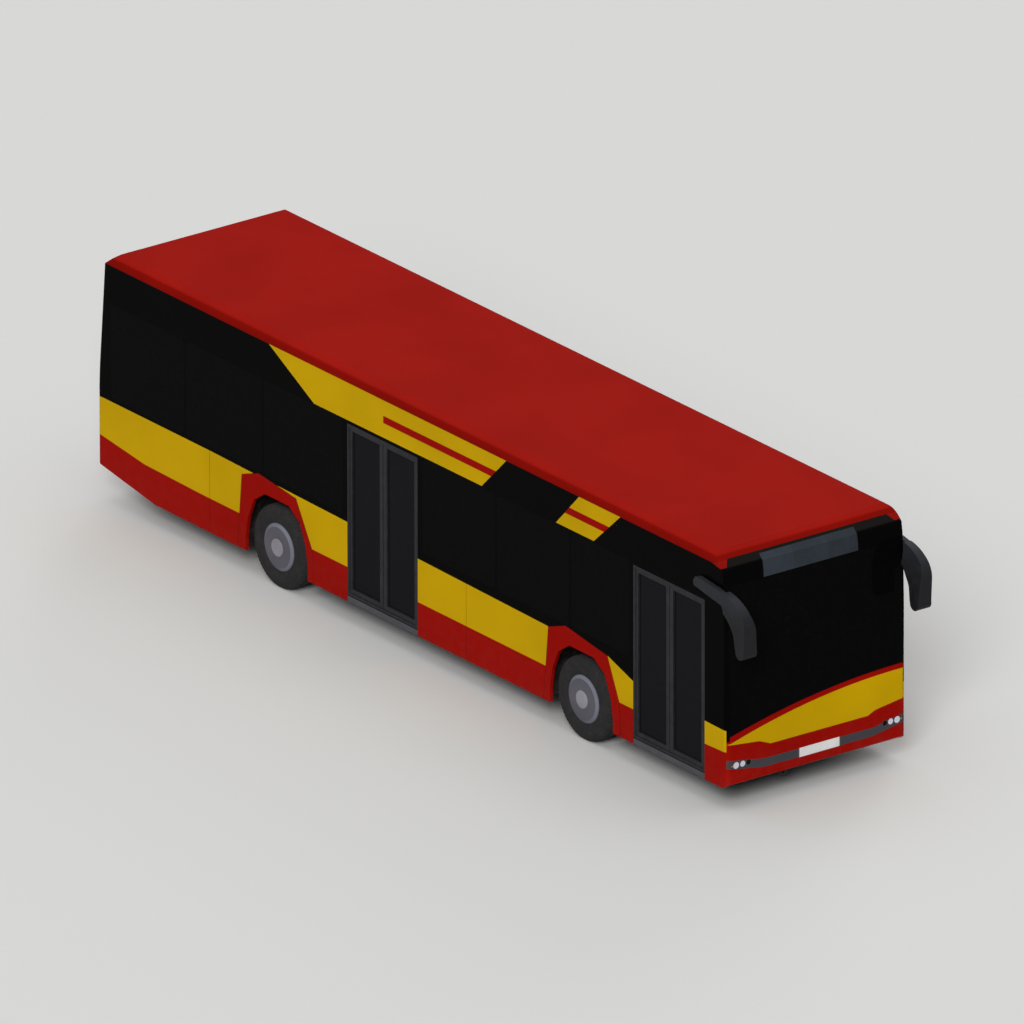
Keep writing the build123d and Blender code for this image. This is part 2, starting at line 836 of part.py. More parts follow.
def spring_seats(x):
    """The two lengthwise arms under an axle beam that carry its air springs."""
    return [
        block(
            (x - spring_offset - spring_radius, x + spring_offset + spring_radius),
            (y - spring_radius, y + spring_radius),
            (beam_bottom - spring_seat_thickness, beam_bottom),
        )
        for y in (-spring_y, spring_y)
    ]


with BuildPart() as front_axle:
    x = axle_x["front"]
    add(block((x - beam_half, x + beam_half), (-yoke_post[1], yoke_post[1]),
              (beam_bottom, beam_top)))
    add(spring_seats(x))
    for side in sides.values():
        lug_top = tyre_radius + yoke_height / 2 + fit_gap + yoke_lug
        lug_bottom = tyre_radius - yoke_height / 2 - fit_gap - yoke_lug
        y_range = sorted((side * yoke_post[0], side * yoke_post[1]))
        add(block((x - yoke_boss, x + yoke_boss), y_range, (beam_bottom, lug_top)))
        lug_y = sorted((side * yoke_post[0], side * kingpin_y))
        for z in (lug_bottom, lug_top - yoke_lug):
            add(block((x - yoke_boss, x + yoke_boss), lug_y, (z, z + yoke_lug)))
            add(upright(x, side * kingpin_y, yoke_boss, z, z + yoke_lug))
save(front_axle.part, "front_axle")

for side_name, side in sides.items():
    with BuildPart() as knuckle:
        x = axle_x["front"]
        half_boss = yoke_height / 2
        add(upright(x, side * kingpin_y, yoke_boss, tyre_radius - half_boss,
                    tyre_radius + half_boss))
        add(round_bar(x, tyre_radius, spindle_radius, side * kingpin_y,
                      side * (hub_inner_face - fit_gap)))
        add(round_bar(x, tyre_radius, brake_radius, side * brake_y,
                      side * (brake_y + brake_thickness)))
    save(knuckle.part, f"{side_name}_knuckle")

with BuildPart() as rear_axle:
    x = axle_x["rear"]
    beam_x = (x - beam_half, x + beam_half)
    add(block(beam_x, (-portal_post[1], portal_post[1]), (beam_bottom, beam_top)))
    add(spring_seats(x))
    for side in sides.values():
        post_y = sorted((side * portal_post[0], side * portal_post[1]))
        add(block(beam_x, post_y, (beam_bottom, tyre_radius)))
        add(round_bar(x, tyre_radius, portal_radius, side * portal_y[0], side * portal_y[1]))
        add(round_bar(x, tyre_radius, 2 * spindle_radius, side * portal_y[1],
                      side * (rear_hub_inner_face - fit_gap)))
save(rear_axle.part, "rear_axle")

with BuildPart() as air_springs:
    for x in axle_x.values():
        for shift in (-spring_offset, spring_offset):
            for y in (-spring_y, spring_y):
                add(upright(x + shift, y, spring_radius, beam_bottom + fit_gap,
                            floor_bottom - fit_gap))
save(air_springs.part, "air_springs")

# --- wheels -----------------------------------------------------------------------------------
rim_width = 240
rim_wall = 9
disc_thickness = 14
flange_radius = 160
hub_radius = 105
disc_swell, disc_flat_radius = 26, 245  # the outer discs stand proud of the rim
outer_disc_y = tyre_middle_y + rim_width / 2 + disc_swell
hub_face = outer_disc_y + 10
inner_disc_y = tyre_middle_y - (tyre_width + twin_gap) / 2


bulge_radius = rim_radius + 0.46 * (tyre_radius - rim_radius)
shoulder_inset, shoulder_drop = 14, 39
corner_inset, corner_drop = 24, 11
tread_edge_inset, tread_edge_drop = 50, 3
inner_radius = rim_radius + fit_gap


def tyre(axle, side, middle_y):
    """A tyre revolved about its axle, with rounded shoulders and bulging walls."""
    y, z = side * middle_y, tyre_radius
    half = tyre_width / 2
    bead = (rim_width / 2, inner_radius)
    bulge = (half, bulge_radius)
    shoulder = (half - shoulder_inset, tyre_radius - shoulder_drop)
    corner = (half - corner_inset, tyre_radius - corner_drop)
    edge = (half - tread_edge_inset, tyre_radius - tread_edge_drop)
    right = [(y + out, z + up) for out, up in (bead, bulge, shoulder, corner, edge)]
    left = [(y - out, z + up) for out, up in (bead, bulge, shoulder, corner, edge)]
    with BuildPart() as ring:
        with BuildSketch(Plane.YZ.offset(axle_x[axle])):
            with BuildLine():
                Line(left[0], right[0])
                ThreePointArc(*right[:3])
                ThreePointArc(*right[2:])
                ThreePointArc(right[4], (y, z + tyre_radius), left[4])
                ThreePointArc(*left[:1:-1])
                ThreePointArc(*left[2::-1])
            make_face()
        revolve(axis=Axis((axle_x[axle], 0, tyre_radius), (0, 1, 0)))
    return ring.part


def rim(axle, side, barrels, hub):
    """Barrels with their discs and the hub, revolved about the axle as one piece."""
    with BuildPart() as wheel:
        with BuildSketch(Plane.YZ.offset(axle_x[axle])):
            for middle_y, disc_from, disc_to, flat_radius in barrels:
                lip_y, lip_z = side * middle_y, tyre_radius
                with Locations((lip_y, lip_z + rim_radius - rim_wall / 2)):
                    Rectangle(rim_width, rim_wall)
                with BuildLine():
                    outer = lip_z + rim_radius - rim_wall / 2
                    inner = lip_z + flat_radius
                    thick = side * disc_thickness
                    Polyline(
                        (side * disc_from, outer),
                        (side * disc_to, inner),
                        (side * disc_to, lip_z + hub_radius / 2),
                        (side * disc_to - thick, lip_z + hub_radius / 2),
                        (side * disc_to - thick, inner),
                        (side * disc_from - thick, outer),
                        close=True,
                    )
                make_face()
            hub_from, hub_to = hub
            with Locations((side * (hub_from + hub_to) / 2, tyre_radius + hub_radius / 2)):
                Rectangle(hub_to - hub_from, hub_radius)
        revolve(axis=Axis((axle_x[axle], 0, tyre_radius), (0, 1, 0)))
    return wheel.part


outer_barrel = (tyre_middle_y, tyre_middle_y + rim_width / 2, outer_disc_y, disc_flat_radius)
inner_barrel = (inner_twin_y, inner_twin_y + 60, inner_disc_y, flange_radius)
for side_name, side in sides.items():
    with BuildPart() as front_tyre:
        add(tyre("front", side, tyre_middle_y))
    save(front_tyre.part, f"front_{side_name}_tyre")
    with BuildPart() as front_rim:
        add(rim("front", side, [outer_barrel], (hub_inner_face, hub_face)))
    save(front_rim.part, f"front_{side_name}_rim")
    with BuildPart() as rear_tyres:
        add([tyre("rear", side, y) for y in (tyre_middle_y, inner_twin_y)])
    save(rear_tyres.part, f"rear_{side_name}_tyres")
    with BuildPart() as rear_rims:
        add(rim("rear", side, [outer_barrel, inner_barrel], (rear_hub_inner_face, hub_face)))
    save(rear_rims.part, f"rear_{side_name}_rims")

# --- doors ------------------------------------------------------------------------------------
# Each leaf hangs by its middle on two arms of an upright pillar in the doorway's edge, and a
# roller on its top runs in the header rail, so that it turns as it glides inside.
leaf_bottom = floor_z + leaf_bottom_gap
leaf_top = door_top - leaf_top_gap
low_arm_z = leaf_bottom - arm_gap - arm_thickness
high_arm_z = leaf_top + arm_gap


def leaf_places():
    """Name, pillar axis and direction along the doorway of each door leaf."""
    places = []
    for door, (rear_edge, front_edge) in door_edges.items():
        places.append((f"{door}_door_rear", rear_edge + pillar_inset, 1))
        places.append((f"{door}_door_front", front_edge - pillar_inset, -1))
    return places


for name, pillar_x, along in leaf_places():
    middle_x = pillar_x + along * door_arm
    with BuildPart() as door_arms:
        add(upright(pillar_x, door_plane_y, pillar_radius, floor_z + fit_gap, door_top - fit_gap))
        for z in (low_arm_z, high_arm_z):
            add(upright(pillar_x, door_plane_y, arm_width / 2 + 3, z, z + arm_thickness))
            add(upright(middle_x, door_plane_y, arm_width / 2 + 3, z, z + arm_thickness))
            add(block(sorted((pillar_x, middle_x)),
                      (door_plane_y - arm_width / 2, door_plane_y + arm_width / 2),
                      (z, z + arm_thickness)))
            add(upright(middle_x, door_plane_y, pin_bore, z - 1, z + arm_thickness + 1),
                mode=Mode.SUBTRACT)
    save(door_arms.part, f"{name}_arms")

    leaf_x = sorted((pillar_x + along * leaf_near_gap, pillar_x + along * leaf_reach))
    rims = (frame_hanging, frame_meeting) if along > 0 else (frame_meeting, frame_hanging)
    pane_x = (leaf_x[0] + rims[0], leaf_x[1] - rims[1])
    pane_z = (leaf_bottom + frame_bottom, leaf_top - frame_top)
    leaf_y = (door_plane_y - leaf_thickness / 2, door_plane_y + leaf_thickness / 2)
    with BuildPart() as leaf:
        add(block(leaf_x, leaf_y, (leaf_bottom, leaf_top)))
        add(block(pane_x, (leaf_y[0] - 1, leaf_y[1] + 1), pane_z), mode=Mode.SUBTRACT)
        add(upright(middle_x, door_plane_y, pin_radius, low_arm_z - fit_gap, leaf_bottom))
        add(upright(middle_x, door_plane_y, pin_radius, leaf_top,
                    high_arm_z + arm_thickness + fit_gap))
        add(upright(middle_x, door_plane_y, arm_width / 2 + 3, leaf_bottom - arm_gap + fit_gap,
                    leaf_bottom))
        add(upright(pillar_x + along * 2 * door_arm, door_plane_y, roller_radius, leaf_top,
                    door_top - 1))
    save(leaf.part, f"{name}_leaf")

    pane_face = leaf_y[0] + pane_recess
    with BuildPart() as pane:
        add(block((pane_x[0] + fit_gap, pane_x[1] - fit_gap),
                  (pane_face, pane_face + pane_thickness),
                  (pane_z[0] + fit_gap, pane_z[1] - fit_gap)))
    save(pane.part, f"{name}_pane")

# --- mirrors ----------------------------------------------------------------------------------
mirror_outer_y = half_width + 60
mirror_width = 190
mirror_arm_outline = [
    (472, 2333), (545, 2345), (562, 2392), (525, 2452), (468, 2466),
    (126, 2430), (-100, 2385), (-100, 2095), (-12, 2170), (31, 2255),
]
# How wide the head is at each height, from its top down.
mirror_widths = [(2500, 90), (2240, 120), (2060, 170), (1800, 190), (1600, 190)]



def mirror_head(side):
    """One mirror's head: its outline in side view, narrower towards its top."""
    nose, root = body_front + mirror_reach, body_front
    outer = side * mirror_outer_y
    inner = [(side * (mirror_outer_y - width), rise(height)) for height, width in mirror_widths]
    with BuildPart() as head:
        with BuildSketch(Plane.XZ.offset(-max(outer, outer - side * mirror_width))):
            with BuildLine():
                Polyline((nose, rise(2080)), (nose - 15, rise(1800)))
                ThreePointArc(
                    (nose - 15, rise(1800)), (nose - 90, rise(1700)), (nose - 160, rise(1745))
                )
                Line((nose - 160, rise(1745)), (nose - 205, rise(1960)))
                ThreePointArc(
                    (nose - 205, rise(1960)), (nose - 290, rise(2080)), (root, rise(2170))
                )
                Line((root, rise(2170)), (root, rise(2415)))
                ThreePointArc(
                    (root, rise(2415)), (root + 160, rise(2375)), (nose - 110, rise(2300))
                )
                ThreePointArc(
                    (nose - 110, rise(2300)), (nose - 25, rise(2200)), (nose, rise(2080))
                )
            make_face()
        extrude(amount=mirror_width)
        with BuildSketch(Plane.YZ.offset(root)):
            with BuildLine():
                ends = [(outer, inner[-1][1]), (outer, inner[0][1])]
                Polyline(*inner, *ends, close=True)
            make_face()
        extrude(amount=mirror_reach + wall, mode=Mode.INTERSECT)
    return head.part


mirror_parts = []
for side in sides.values():
    with BuildPart() as mirror:
        arm_y = sorted((side * (half_width + fit_gap), side * mirror_outer_y))
        add(side_zone([(back(x), rise(z)) for x, z in mirror_arm_outline], *arm_y))
        add(mirror_head(side))
    mirror_parts.append(mirror.part)
with BuildPart() as mirrors:
    add(mirror_parts)
save(mirrors.part, "mirrors")

# --- driver's place ---------------------------------------------------------------------------
partition_back, partition_inner_y, partition_thickness = 1830, 270, 30
partition_rise, partition_door_rise = 1850, 1130
cab_door_front_back = 1080
dash_right_y, dash_rear_back, dash_top_rise = -80, 520, 880
dash_front_back = 110
driver_y = 740
wheel_back, wheel_rise, wheel_ring_radius, wheel_tube_radius = 800, 920, 230, 15
wheel_tilt = 28
column_radius, hub_disc_radius, hub_disc_thickness = 30, 55, 30
column_length = 920
driver_seat_back, driver_seat_rise = 1330, 480

with BuildPart() as driver_partition:
    x = back(partition_back)
    y_range = (partition_inner_y, floor_edge)
    add(block((x, x + partition_thickness), y_range, (floor_z + fit_gap, rise(partition_rise))))
    add(
        block(
            (x, back(cab_door_front_back)),
            (partition_inner_y, partition_inner_y + partition_thickness),
            (floor_z + fit_gap, rise(partition_door_rise)),
        )
    )
save(driver_partition.part, "driver_partition")

wheel_point = (back(wheel_back), driver_y, rise(wheel_rise))
wheel_plane = Plane(origin=wheel_point, z_dir=(0, 0, 1)).rotated((0, -wheel_tilt, 0))
with BuildPart() as dashboard:
    dash_outline = [
        (back(dash_front_back), floor_z + fit_gap),
        (back(dash_front_back), rise(dash_top_rise - 80)),
        (back(dash_rear_back - 60), rise(dash_top_rise)),
        (back(dash_rear_back + 40), rise(dash_top_rise - 40)),
        (back(dash_rear_back), rise(dash_top_rise - 200)),
        (back(dash_rear_back - 120), rise(dash_top_rise - 330)),
        (back(dash_rear_back - 120), floor_z + fit_gap),
    ]
    add(side_zone(dash_outline, floor_edge - 1, dash_right_y))
    with BuildSketch(wheel_plane.offset(-hub_disc_thickness / 2 - fit_gap)):
        Circle(column_radius)
    extrude(amount=-column_length)
    add(block((0, body_front), (0, half_width), (0, floor_z + fit_gap)), mode=Mode.SUBTRACT)
save(dashboard.part, "dashboard")

with BuildPart() as steering_wheel:
    with BuildSketch(wheel_plane.offset(-hub_disc_thickness / 2)):
        Circle(hub_disc_radius)
    extrude(amount=hub_disc_thickness)
    with BuildSketch(wheel_plane.offset(-hub_disc_thickness / 4)):
        for angle in (0, 120, 240):
            with PolarLocations(wheel_ring_radius / 2, 1, start_angle=angle):
                Rectangle(wheel_ring_radius, 1.6 * wheel_tube_radius)
    extrude(amount=hub_disc_thickness / 2)
    with BuildSketch(Plane(origin=wheel_point, x_dir=wheel_plane.x_dir, z_dir=(0, 1, 0))):
        with Locations((wheel_ring_radius, 0)):
            Circle(wheel_tube_radius)
    revolve(axis=Axis(wheel_point, wheel_plane.z_dir))
save(steering_wheel.part, "steering_wheel")

# --- seats ------------------------------------------------------------------------------------
seat_width, seat_depth, seat_base_height = 430, 420, 400
seat_shell, back_height, seat_leg = 22, 640, 60
pad_inset, pad_thickness = 18, 45
seat_pair_gap = 20
seat_wall_gap = 25
seat_rows = [3900, 4650, 5400]  # backs of the rows ahead of the middle door
step_rows = [step_back + 670]
deck_rows = [deck_back + 510]
bench_seats = 5


def seat_shell_part(x, y, floor_level, width, height):
    """A moulded seat: base, back and leg in one, facing forward, its back at station x."""
    base_z = floor_level + height
    with BuildPart() as shell:
        add(block((x, x + seat_depth), (y - width / 2, y + width / 2),
                  (base_z, base_z + seat_shell)))
        add(block((x, x + seat_shell), (y - width / 2, y + width / 2),
                  (base_z, base_z + back_height)))
        add(block((x + seat_depth / 2 - seat_leg, x + seat_depth / 2 + seat_leg),
                  (y - seat_leg / 2, y + seat_leg / 2), (floor_level + fit_gap, base_z)))
    return shell.part


def seat_pad_parts(x, y, floor_level, width, height):
    """The soft seat and back pads of one seat, just clear of its shell."""
    base_z = floor_level + height + seat_shell + fit_gap
    half = width / 2 - pad_inset
    front_of_back = x + seat_shell + fit_gap
    return [
        block((front_of_back + pad_thickness + fit_gap, x + seat_depth - pad_inset),
              (y - half, y + half), (base_z, base_z + pad_thickness)),
        block((front_of_back, front_of_back + pad_thickness), (y - half, y + half),
              (base_z, base_z + back_height - seat_shell - 2 * pad_inset)),
    ]


seat_places = []
wall_y = side_inside - seat_wall_gap - seat_width / 2
pair_y = (wall_y, wall_y - seat_width - seat_pair_gap)
for rows, level in ((seat_rows, floor_z), (step_rows, step_z), (deck_rows, deck_z)):
    for row in rows:
        for side in sides.values():
            seat_places += [(back(row), side * y, level) for y in pair_y]
for seat in range(bench_seats):
    y = (seat - (bench_seats - 1) / 2) * (seat_width + seat_pair_gap)
    seat_places.append((bulkhead_x + riser + fit_gap, y, deck_z))
driver_place = (back(driver_seat_back), driver_y, floor_z)

with BuildPart() as passenger_seats:
    add([seat_shell_part(*place, seat_width, seat_base_height) for place in seat_places])
save(passenger_seats.part, "passenger_seats")

with BuildPart() as driver_seat:
    add(seat_shell_part(*driver_place, seat_width + 60, driver_seat_rise))
save(driver_seat.part, "driver_seat")

with BuildPart() as seat_pads:
    for place in seat_places:
        add(seat_pad_parts(*place, seat_width, seat_base_height))
    add(seat_pad_parts(*driver_place, seat_width + 60, driver_seat_rise))
save(seat_pads.part, "seat_pads")

# --- handrails --------------------------------------------------------------------------------
rail_tube = 17
aisle_rail_y = 295
aisle_rail_rise = 2330
aisle_rail_front_back, aisle_rail_rear_back = 2100, 10200
pole_backs = [2000, 4400, 5150, 7500]
step_pole_back = step_back + 170

with BuildPart() as handrails:
    for side in sides.values():
        y = side * aisle_rail_y
        with BuildSketch(Plane.YZ.offset(back(aisle_rail_rear_back))):
            with Locations((y, rise(aisle_rail_rise))):
                Circle(rail_tube)
        extrude(amount=aisle_rail_rear_back - aisle_rail_front_back + 200)
        for pole_back in pole_backs:
            add(upright(back(pole_back), y, rail_tube, floor_z + fit_gap,
                        roof_inside - fit_gap))
        add(upright(back(step_pole_back), y, rail_tube, step_z + fit_gap,
                    roof_inside - fit_gap))
save(handrails.part, "handrails")
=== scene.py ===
import math

import bmesh
import bpy
import numpy as np
from mathutils import Matrix


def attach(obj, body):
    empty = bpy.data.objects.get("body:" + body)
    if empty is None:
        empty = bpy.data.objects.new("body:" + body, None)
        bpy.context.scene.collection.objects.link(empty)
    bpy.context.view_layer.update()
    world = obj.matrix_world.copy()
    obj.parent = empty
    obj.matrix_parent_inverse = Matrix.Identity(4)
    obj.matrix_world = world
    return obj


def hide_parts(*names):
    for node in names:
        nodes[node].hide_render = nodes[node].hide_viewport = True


# A 12 m low-floor city bus in red, yellow and black. Metres: +X is forward, +Y is the
# driver's left, +Z is up, and z = 0 is the road.
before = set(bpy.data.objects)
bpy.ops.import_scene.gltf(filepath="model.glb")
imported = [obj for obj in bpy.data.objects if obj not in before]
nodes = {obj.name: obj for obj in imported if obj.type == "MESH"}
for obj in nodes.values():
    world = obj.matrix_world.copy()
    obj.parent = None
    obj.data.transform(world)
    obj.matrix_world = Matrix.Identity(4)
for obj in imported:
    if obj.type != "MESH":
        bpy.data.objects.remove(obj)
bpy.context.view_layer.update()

# --- studio ------------------------------------------------------------------------------------
# A pale concrete-coloured floor under an even pale sky, with one broad soft lamp high on the
# right-hand side in front, so that the roof is a little lighter than the sides.
view_azimuth, view_elevation, view_roll = np.radians((53.146, 21.861, -0.103))
view_width = 11.701  # what the camera takes in, across, at the middle of the bus
lens, film = 1600.0, 36.0
look_from = np.array((-0.200, 0.0, 0.285))
look_right, look_up = 0.1494, 1.0818
floor_half = 200.0
floor_colour = (0.62, 0.62, 0.61, 1.0)
sky_light, sky_foot, sky_top, backdrop = 1.35, 0.40, 1.0, 0.66
lamps = {"lamp": (0.40, -0.42, 0.36), "fill": (-0.07, 0.10, 0.05)}
lamp_angle = math.radians(24)

cos_az, sin_az = math.cos(view_azimuth), math.sin(view_azimuth)
cos_el, sin_el = math.cos(view_elevation), math.sin(view_elevation)
level_right = np.array((cos_az, sin_az, 0.0))
level_up = np.array((-sin_el * sin_az, sin_el * cos_az, cos_el))
towards = np.array((sin_az * cos_el, -cos_az * cos_el, sin_el))
right = math.cos(view_roll) * level_right + math.sin(view_roll) * level_up
up = math.cos(view_roll) * level_up - math.sin(view_roll) * level_right
distance = lens * view_width / film
eye = look_from + look_right * right + look_up * up + distance * towards

camera = bpy.data.objects.new("camera", bpy.data.cameras.new("camera"))
bpy.context.scene.collection.objects.link(camera)
camera.data.lens, camera.data.sensor_width = lens, film
camera.data.clip_start, camera.data.clip_end = 1.0, 2 * distance
turn = np.eye(4)
turn[:3, 0], turn[:3, 1], turn[:3, 2], turn[:3, 3] = right, up, towards, eye
camera.matrix_world = Matrix(turn.tolist())
bpy.context.scene.camera = camera
bpy.context.scene.view_settings.view_transform = "Standard"


def node(tree, kind, sockets=(), **settings):
    """A shader node with its settings, and a value or a link in each socket named or numbered."""
    made = tree.nodes.new("ShaderNode" + kind)
    for setting, value in settings.items():
        setattr(made, setting, value)
    for socket, value in dict(sockets).items():
        if isinstance(value, bpy.types.NodeSocket):
            tree.links.new(value, made.inputs[socket])
        else:
            made.inputs[socket].default_value = value
    return made


def calc(tree, operation, *values):
    """The result of a Math node on these values or sockets."""
    return node(tree, "Math", enumerate(values), operation=operation).outputs[0]


def finish(name, **sockets):
    """A new material with plain values on its shader's sockets: material, tree and shader."""
    material = bpy.data.materials.new(name)
    material.use_nodes = True
    tree = material.node_tree
    shader = tree.nodes["Principled BSDF"]
    for socket, value in sockets.items():
        shader.inputs[socket.replace("_", " ")].default_value = value
    return material, tree, shader


def give(tree, shader, **links):
    """Link worked-out values to the shader's sockets."""
    for socket, value in links.items():
        tree.links.new(value, shader.inputs[socket.replace("_", " ")])


def panel(rows, wrap_rows=False, wrap_columns=False):
    """Faces between neighbouring points of a grid, as (points, faces); a wrap closes the grid."""
    count = rows.shape[0] * rows.shape[1]
    index = np.arange(count).reshape(rows.shape[:2])
    if wrap_rows:
        index = np.vstack((index, index[:1]))
    if wrap_columns:
        index = np.hstack((index, index[:, :1]))
    faces = (index[:-1, :-1], index[1:, :-1], index[1:, 1:], index[:-1, 1:])
    return rows.reshape(-1, 3), np.stack(faces, -1).reshape(-1, 4)


def build(name, parts, material, crease=30.0):
    """One mesh object from (points, faces) parts, smooth but for edges over crease degrees."""
    points, faces, start = [], [], 0
    for part_points, part_faces in parts:
        points.append(part_points)
        faces.append(part_faces + start)
        start += len(part_points)
    points, faces = np.vstack(points), np.vstack(faces)
    mesh = bpy.data.meshes.new(name)
    mesh.vertices.add(len(points))
    mesh.vertices.foreach_set("co", points.astype(np.float32).ravel())
    mesh.loops.add(faces.size)
    mesh.loops.foreach_set("vertex_index", faces.astype(np.int32).ravel())
    mesh.polygons.add(len(faces))
    mesh.polygons.foreach_set("loop_start", np.arange(0, faces.size, 4, dtype=np.int32))
    mesh.update(calc_edges=True)
    mesh.validate()
    mesh.polygons.foreach_set("use_smooth", np.ones(len(mesh.polygons), bool))
    mesh.set_sharp_from_angle(angle=math.radians(crease))
    mesh.materials.append(material)
    made = bpy.data.objects.new(name, mesh)
    bpy.context.scene.collection.objects.link(made)
    return made


floor_material, tree, shader = finish("studio_floor", Base_Color=floor_colour, Roughness=0.75)
speck = node(tree, "TexNoise", {"Scale": 900.0, "Detail": 2.0}).outputs[0]
give(tree, shader, Normal=node(tree, "Bump", {"Strength": 0.05, "Height": speck}).outputs[0])
corners = np.array([[(-1, -1, 0), (-1, 1, 0)], [(1, -1, 0), (1, 1, 0)]]) * floor_half
studio_floor = build("studio_floor", [panel(corners.astype(float))], floor_material)

world = bpy.data.worlds.new("sky")
world.use_nodes = True
bpy.context.scene.world = world
tree = world.node_tree
# An even soft light overhead that fades out towards the horizon, before a pale backdrop.
height = node(tree, "SeparateXYZ", {0: node(tree, "TexCoord").outputs["Generated"]}).outputs["Z"]
sky_sockets = {0: height, 1: sky_foot, 2: sky_top, 3: 0.0, 4: sky_light}
strength = node(tree, "MapRange", sky_sockets, interpolation_type="SMOOTHSTEP").outputs[0]
ray = node(tree, "LightPath").outputs
for seen in ("Is Camera Ray", "Is Glossy Ray", "Is Transmission Ray"):
    strength = calc(tree, "MAXIMUM", strength, calc(tree, "MULTIPLY", ray[seen], backdrop))
tree.links.new(strength, tree.nodes["Background"].inputs["Strength"])
tree.nodes["Background"].inputs["Color"].default_value = (1.0, 1.0, 1.0, 1.0)

# Each lamp's direction is towards it, as long as the light it gives a wall that faces it.
for name, direction in lamps.items():
    lamp = bpy.data.objects.new(name, bpy.data.lights.new(name, "SUN"))
    length = np.linalg.norm(direction)
    lamp.data.energy, lamp.data.angle = math.pi * length, lamp_angle
    unit = np.array(direction) / length
    side_way = np.cross((0, 0, 1), unit)
    side_way /= np.linalg.norm(side_way)
    turn = np.eye(4)
    turn[:3, 0], turn[:3, 1], turn[:3, 2] = side_way, np.cross(unit, side_way), unit
    lamp.matrix_world = Matrix(turn.tolist())
    bpy.context.scene.collection.objects.link(lamp)

# --- roof --------------------------------------------------------------------------------------
# Aluminium skin bonded to the roof frame, sprayed red under a clear coat. The film has fine
# orange peel, the skin is slightly wavy between its bows, and road film gathers low down.
roof_edge_shade_band = (3.045, 3.075)


def paint(red, green, blue):
    """A display colour, 0 to 255 each, as the linear colour that a shader takes."""
    share = np.array((red, green, blue)) / 255.0
    linear = np.where(share <= 0.04045, share / 12.92, ((share + 0.055) / 1.055) ** 2.4)
    return (*(float(x) for x in linear), 1.0)


# The deeper red is painted shade on the roof's rounded edge, which turns away from the light.
red_roof, shaded_roof_red = paint(146, 24, 18), paint(124, 14, 8)
road_film = paint(104, 92, 80)


def mixed(tree, mask, first, second):
    """Colour first, turning to colour second where mask is 1."""
    sockets = {0: mask, 6: first, 7: second}
    return node(tree, "Mix", sockets, data_type="RGBA").outputs[2]


def coat_nodes(material, *names):
    """Give these CAD nodes one material in every slot."""
    for name in names:
        for slot in nodes[name].material_slots:
            slot.material = material


def group(name, inputs, outputs):
    """An empty node group with these inputs and outputs: its tree, inputs and outputs."""
    tree = bpy.data.node_groups.new(name, "ShaderNodeTree")
    for socket, value in inputs.items():
        kind = "NodeSocketColor" if isinstance(value, tuple) else "NodeSocketFloat"
        made = tree.interface.new_socket(socket, in_out="INPUT", socket_type=kind)
        made.default_value = value
    for socket, kind in outputs.items():
        tree.interface.new_socket(socket, in_out="OUTPUT", socket_type="NodeSocket" + kind)
    start, end = tree.nodes.new("NodeGroupInput"), tree.nodes.new("NodeGroupOutput")
    return tree, start.outputs, end.inputs


def send(tree, sockets, **values):
    """Link a group's results to its output sockets."""
    for socket, value in values.items():
        tree.links.new(value, sockets[socket])


def use(tree, made_group, **sockets):
    """A node group placed in a material with its own values: its outputs."""
    values = {socket.replace("_", " "): value for socket, value in sockets.items()}
    placed = node(tree, "Group", node_tree=made_group)
    for socket, value in values.items():
        if isinstance(value, bpy.types.NodeSocket):
            tree.links.new(value, placed.inputs[socket])
        else:
            placed.inputs[socket].default_value = value
    return placed.outputs


def place(tree):
    """A shaded point's place in the bus's own frame, in metres."""
    return node(tree, "TexCoord").outputs["Object"]


def noise(tree, scale, detail=2.0, roughness=0.5):
    """Even noise from 0 to 1 with that many features a metre."""
    sockets = {"Vector": place(tree), "Scale": scale, "Detail": detail, "Roughness": roughness}
    return node(tree, "TexNoise", sockets).outputs[0]


def spread(tree, value, low, high, start=0.0, end=1.0):
    """Value from low to high taken to start to end, and held there outside."""
    sockets = {0: value, 1: low, 2: high, 3: start, 4: end}
    return node(tree, "MapRange", sockets, interpolation_type="SMOOTHSTEP").outputs[0]


def bump(tree, height, depth, normal=None):
    """A normal raised by height times depth in metres."""
    sockets = {"Strength": 1.0, "Distance": depth, "Height": height}
    if normal is not None:
        sockets["Normal"] = normal
    return node(tree, "Bump", sockets).outputs[0]


# Paint: colour with a little broad tone and road film, roughness, and peel over soft waves.
paint_film, given, result = group(
    "paint_film",
    {"Colour": red_roof, "Gloss": 0.2, "Film": 0.06},
    {"Colour": "Color", "Roughness": "Float", "Normal": "Vector"},
)
tone = spread(paint_film, noise(paint_film, 0.9, 3.0), 0.3, 0.7, 0.94, 1.05)
toned = node(paint_film, "HueSaturation", {"Value": tone, "Color": given["Colour"]}).outputs[0]
level = node(paint_film, "SeparateXYZ", {0: place(paint_film)}).outputs["Z"]
low_down = spread(paint_film, level, 1.10, 0.2)
splashes = spread(paint_film, noise(paint_film, 7.0, 8.0, 0.68), 0.36, 0.72, 0.15, 1.0)
film = calc(paint_film, "MULTIPLY", low_down, splashes)
film = calc(paint_film, "MULTIPLY", film, given["Film"])
dull = calc(paint_film, "MULTIPLY_ADD", film, 0.9, given["Gloss"])
peel = noise(paint_film, 240.0, 1.0)
waves = bump(paint_film, noise(paint_film, 1.6, 1.0), 0.004)
send(
    paint_film,
    result,
    Colour=mixed(paint_film, film, toned, road_film),
    Roughness=calc(paint_film, "MULTIPLY_ADD", peel, 0.05, dull),
    Normal=bump(paint_film, peel, 0.00012, waves),
)


def dressed(name, made_group, colour, plain, **values):
    """A material whose colour, roughness and normal come from a group that is given values."""
    material, tree, shader = finish(name, **plain)
    if callable(colour):
        colour = colour(tree)
    made = use(tree, made_group, Colour=colour, **values)
    give(tree, shader, Base_Color=made["Colour"], Roughness=made["Roughness"])
    give(tree, shader, Normal=made["Normal"])
    return material


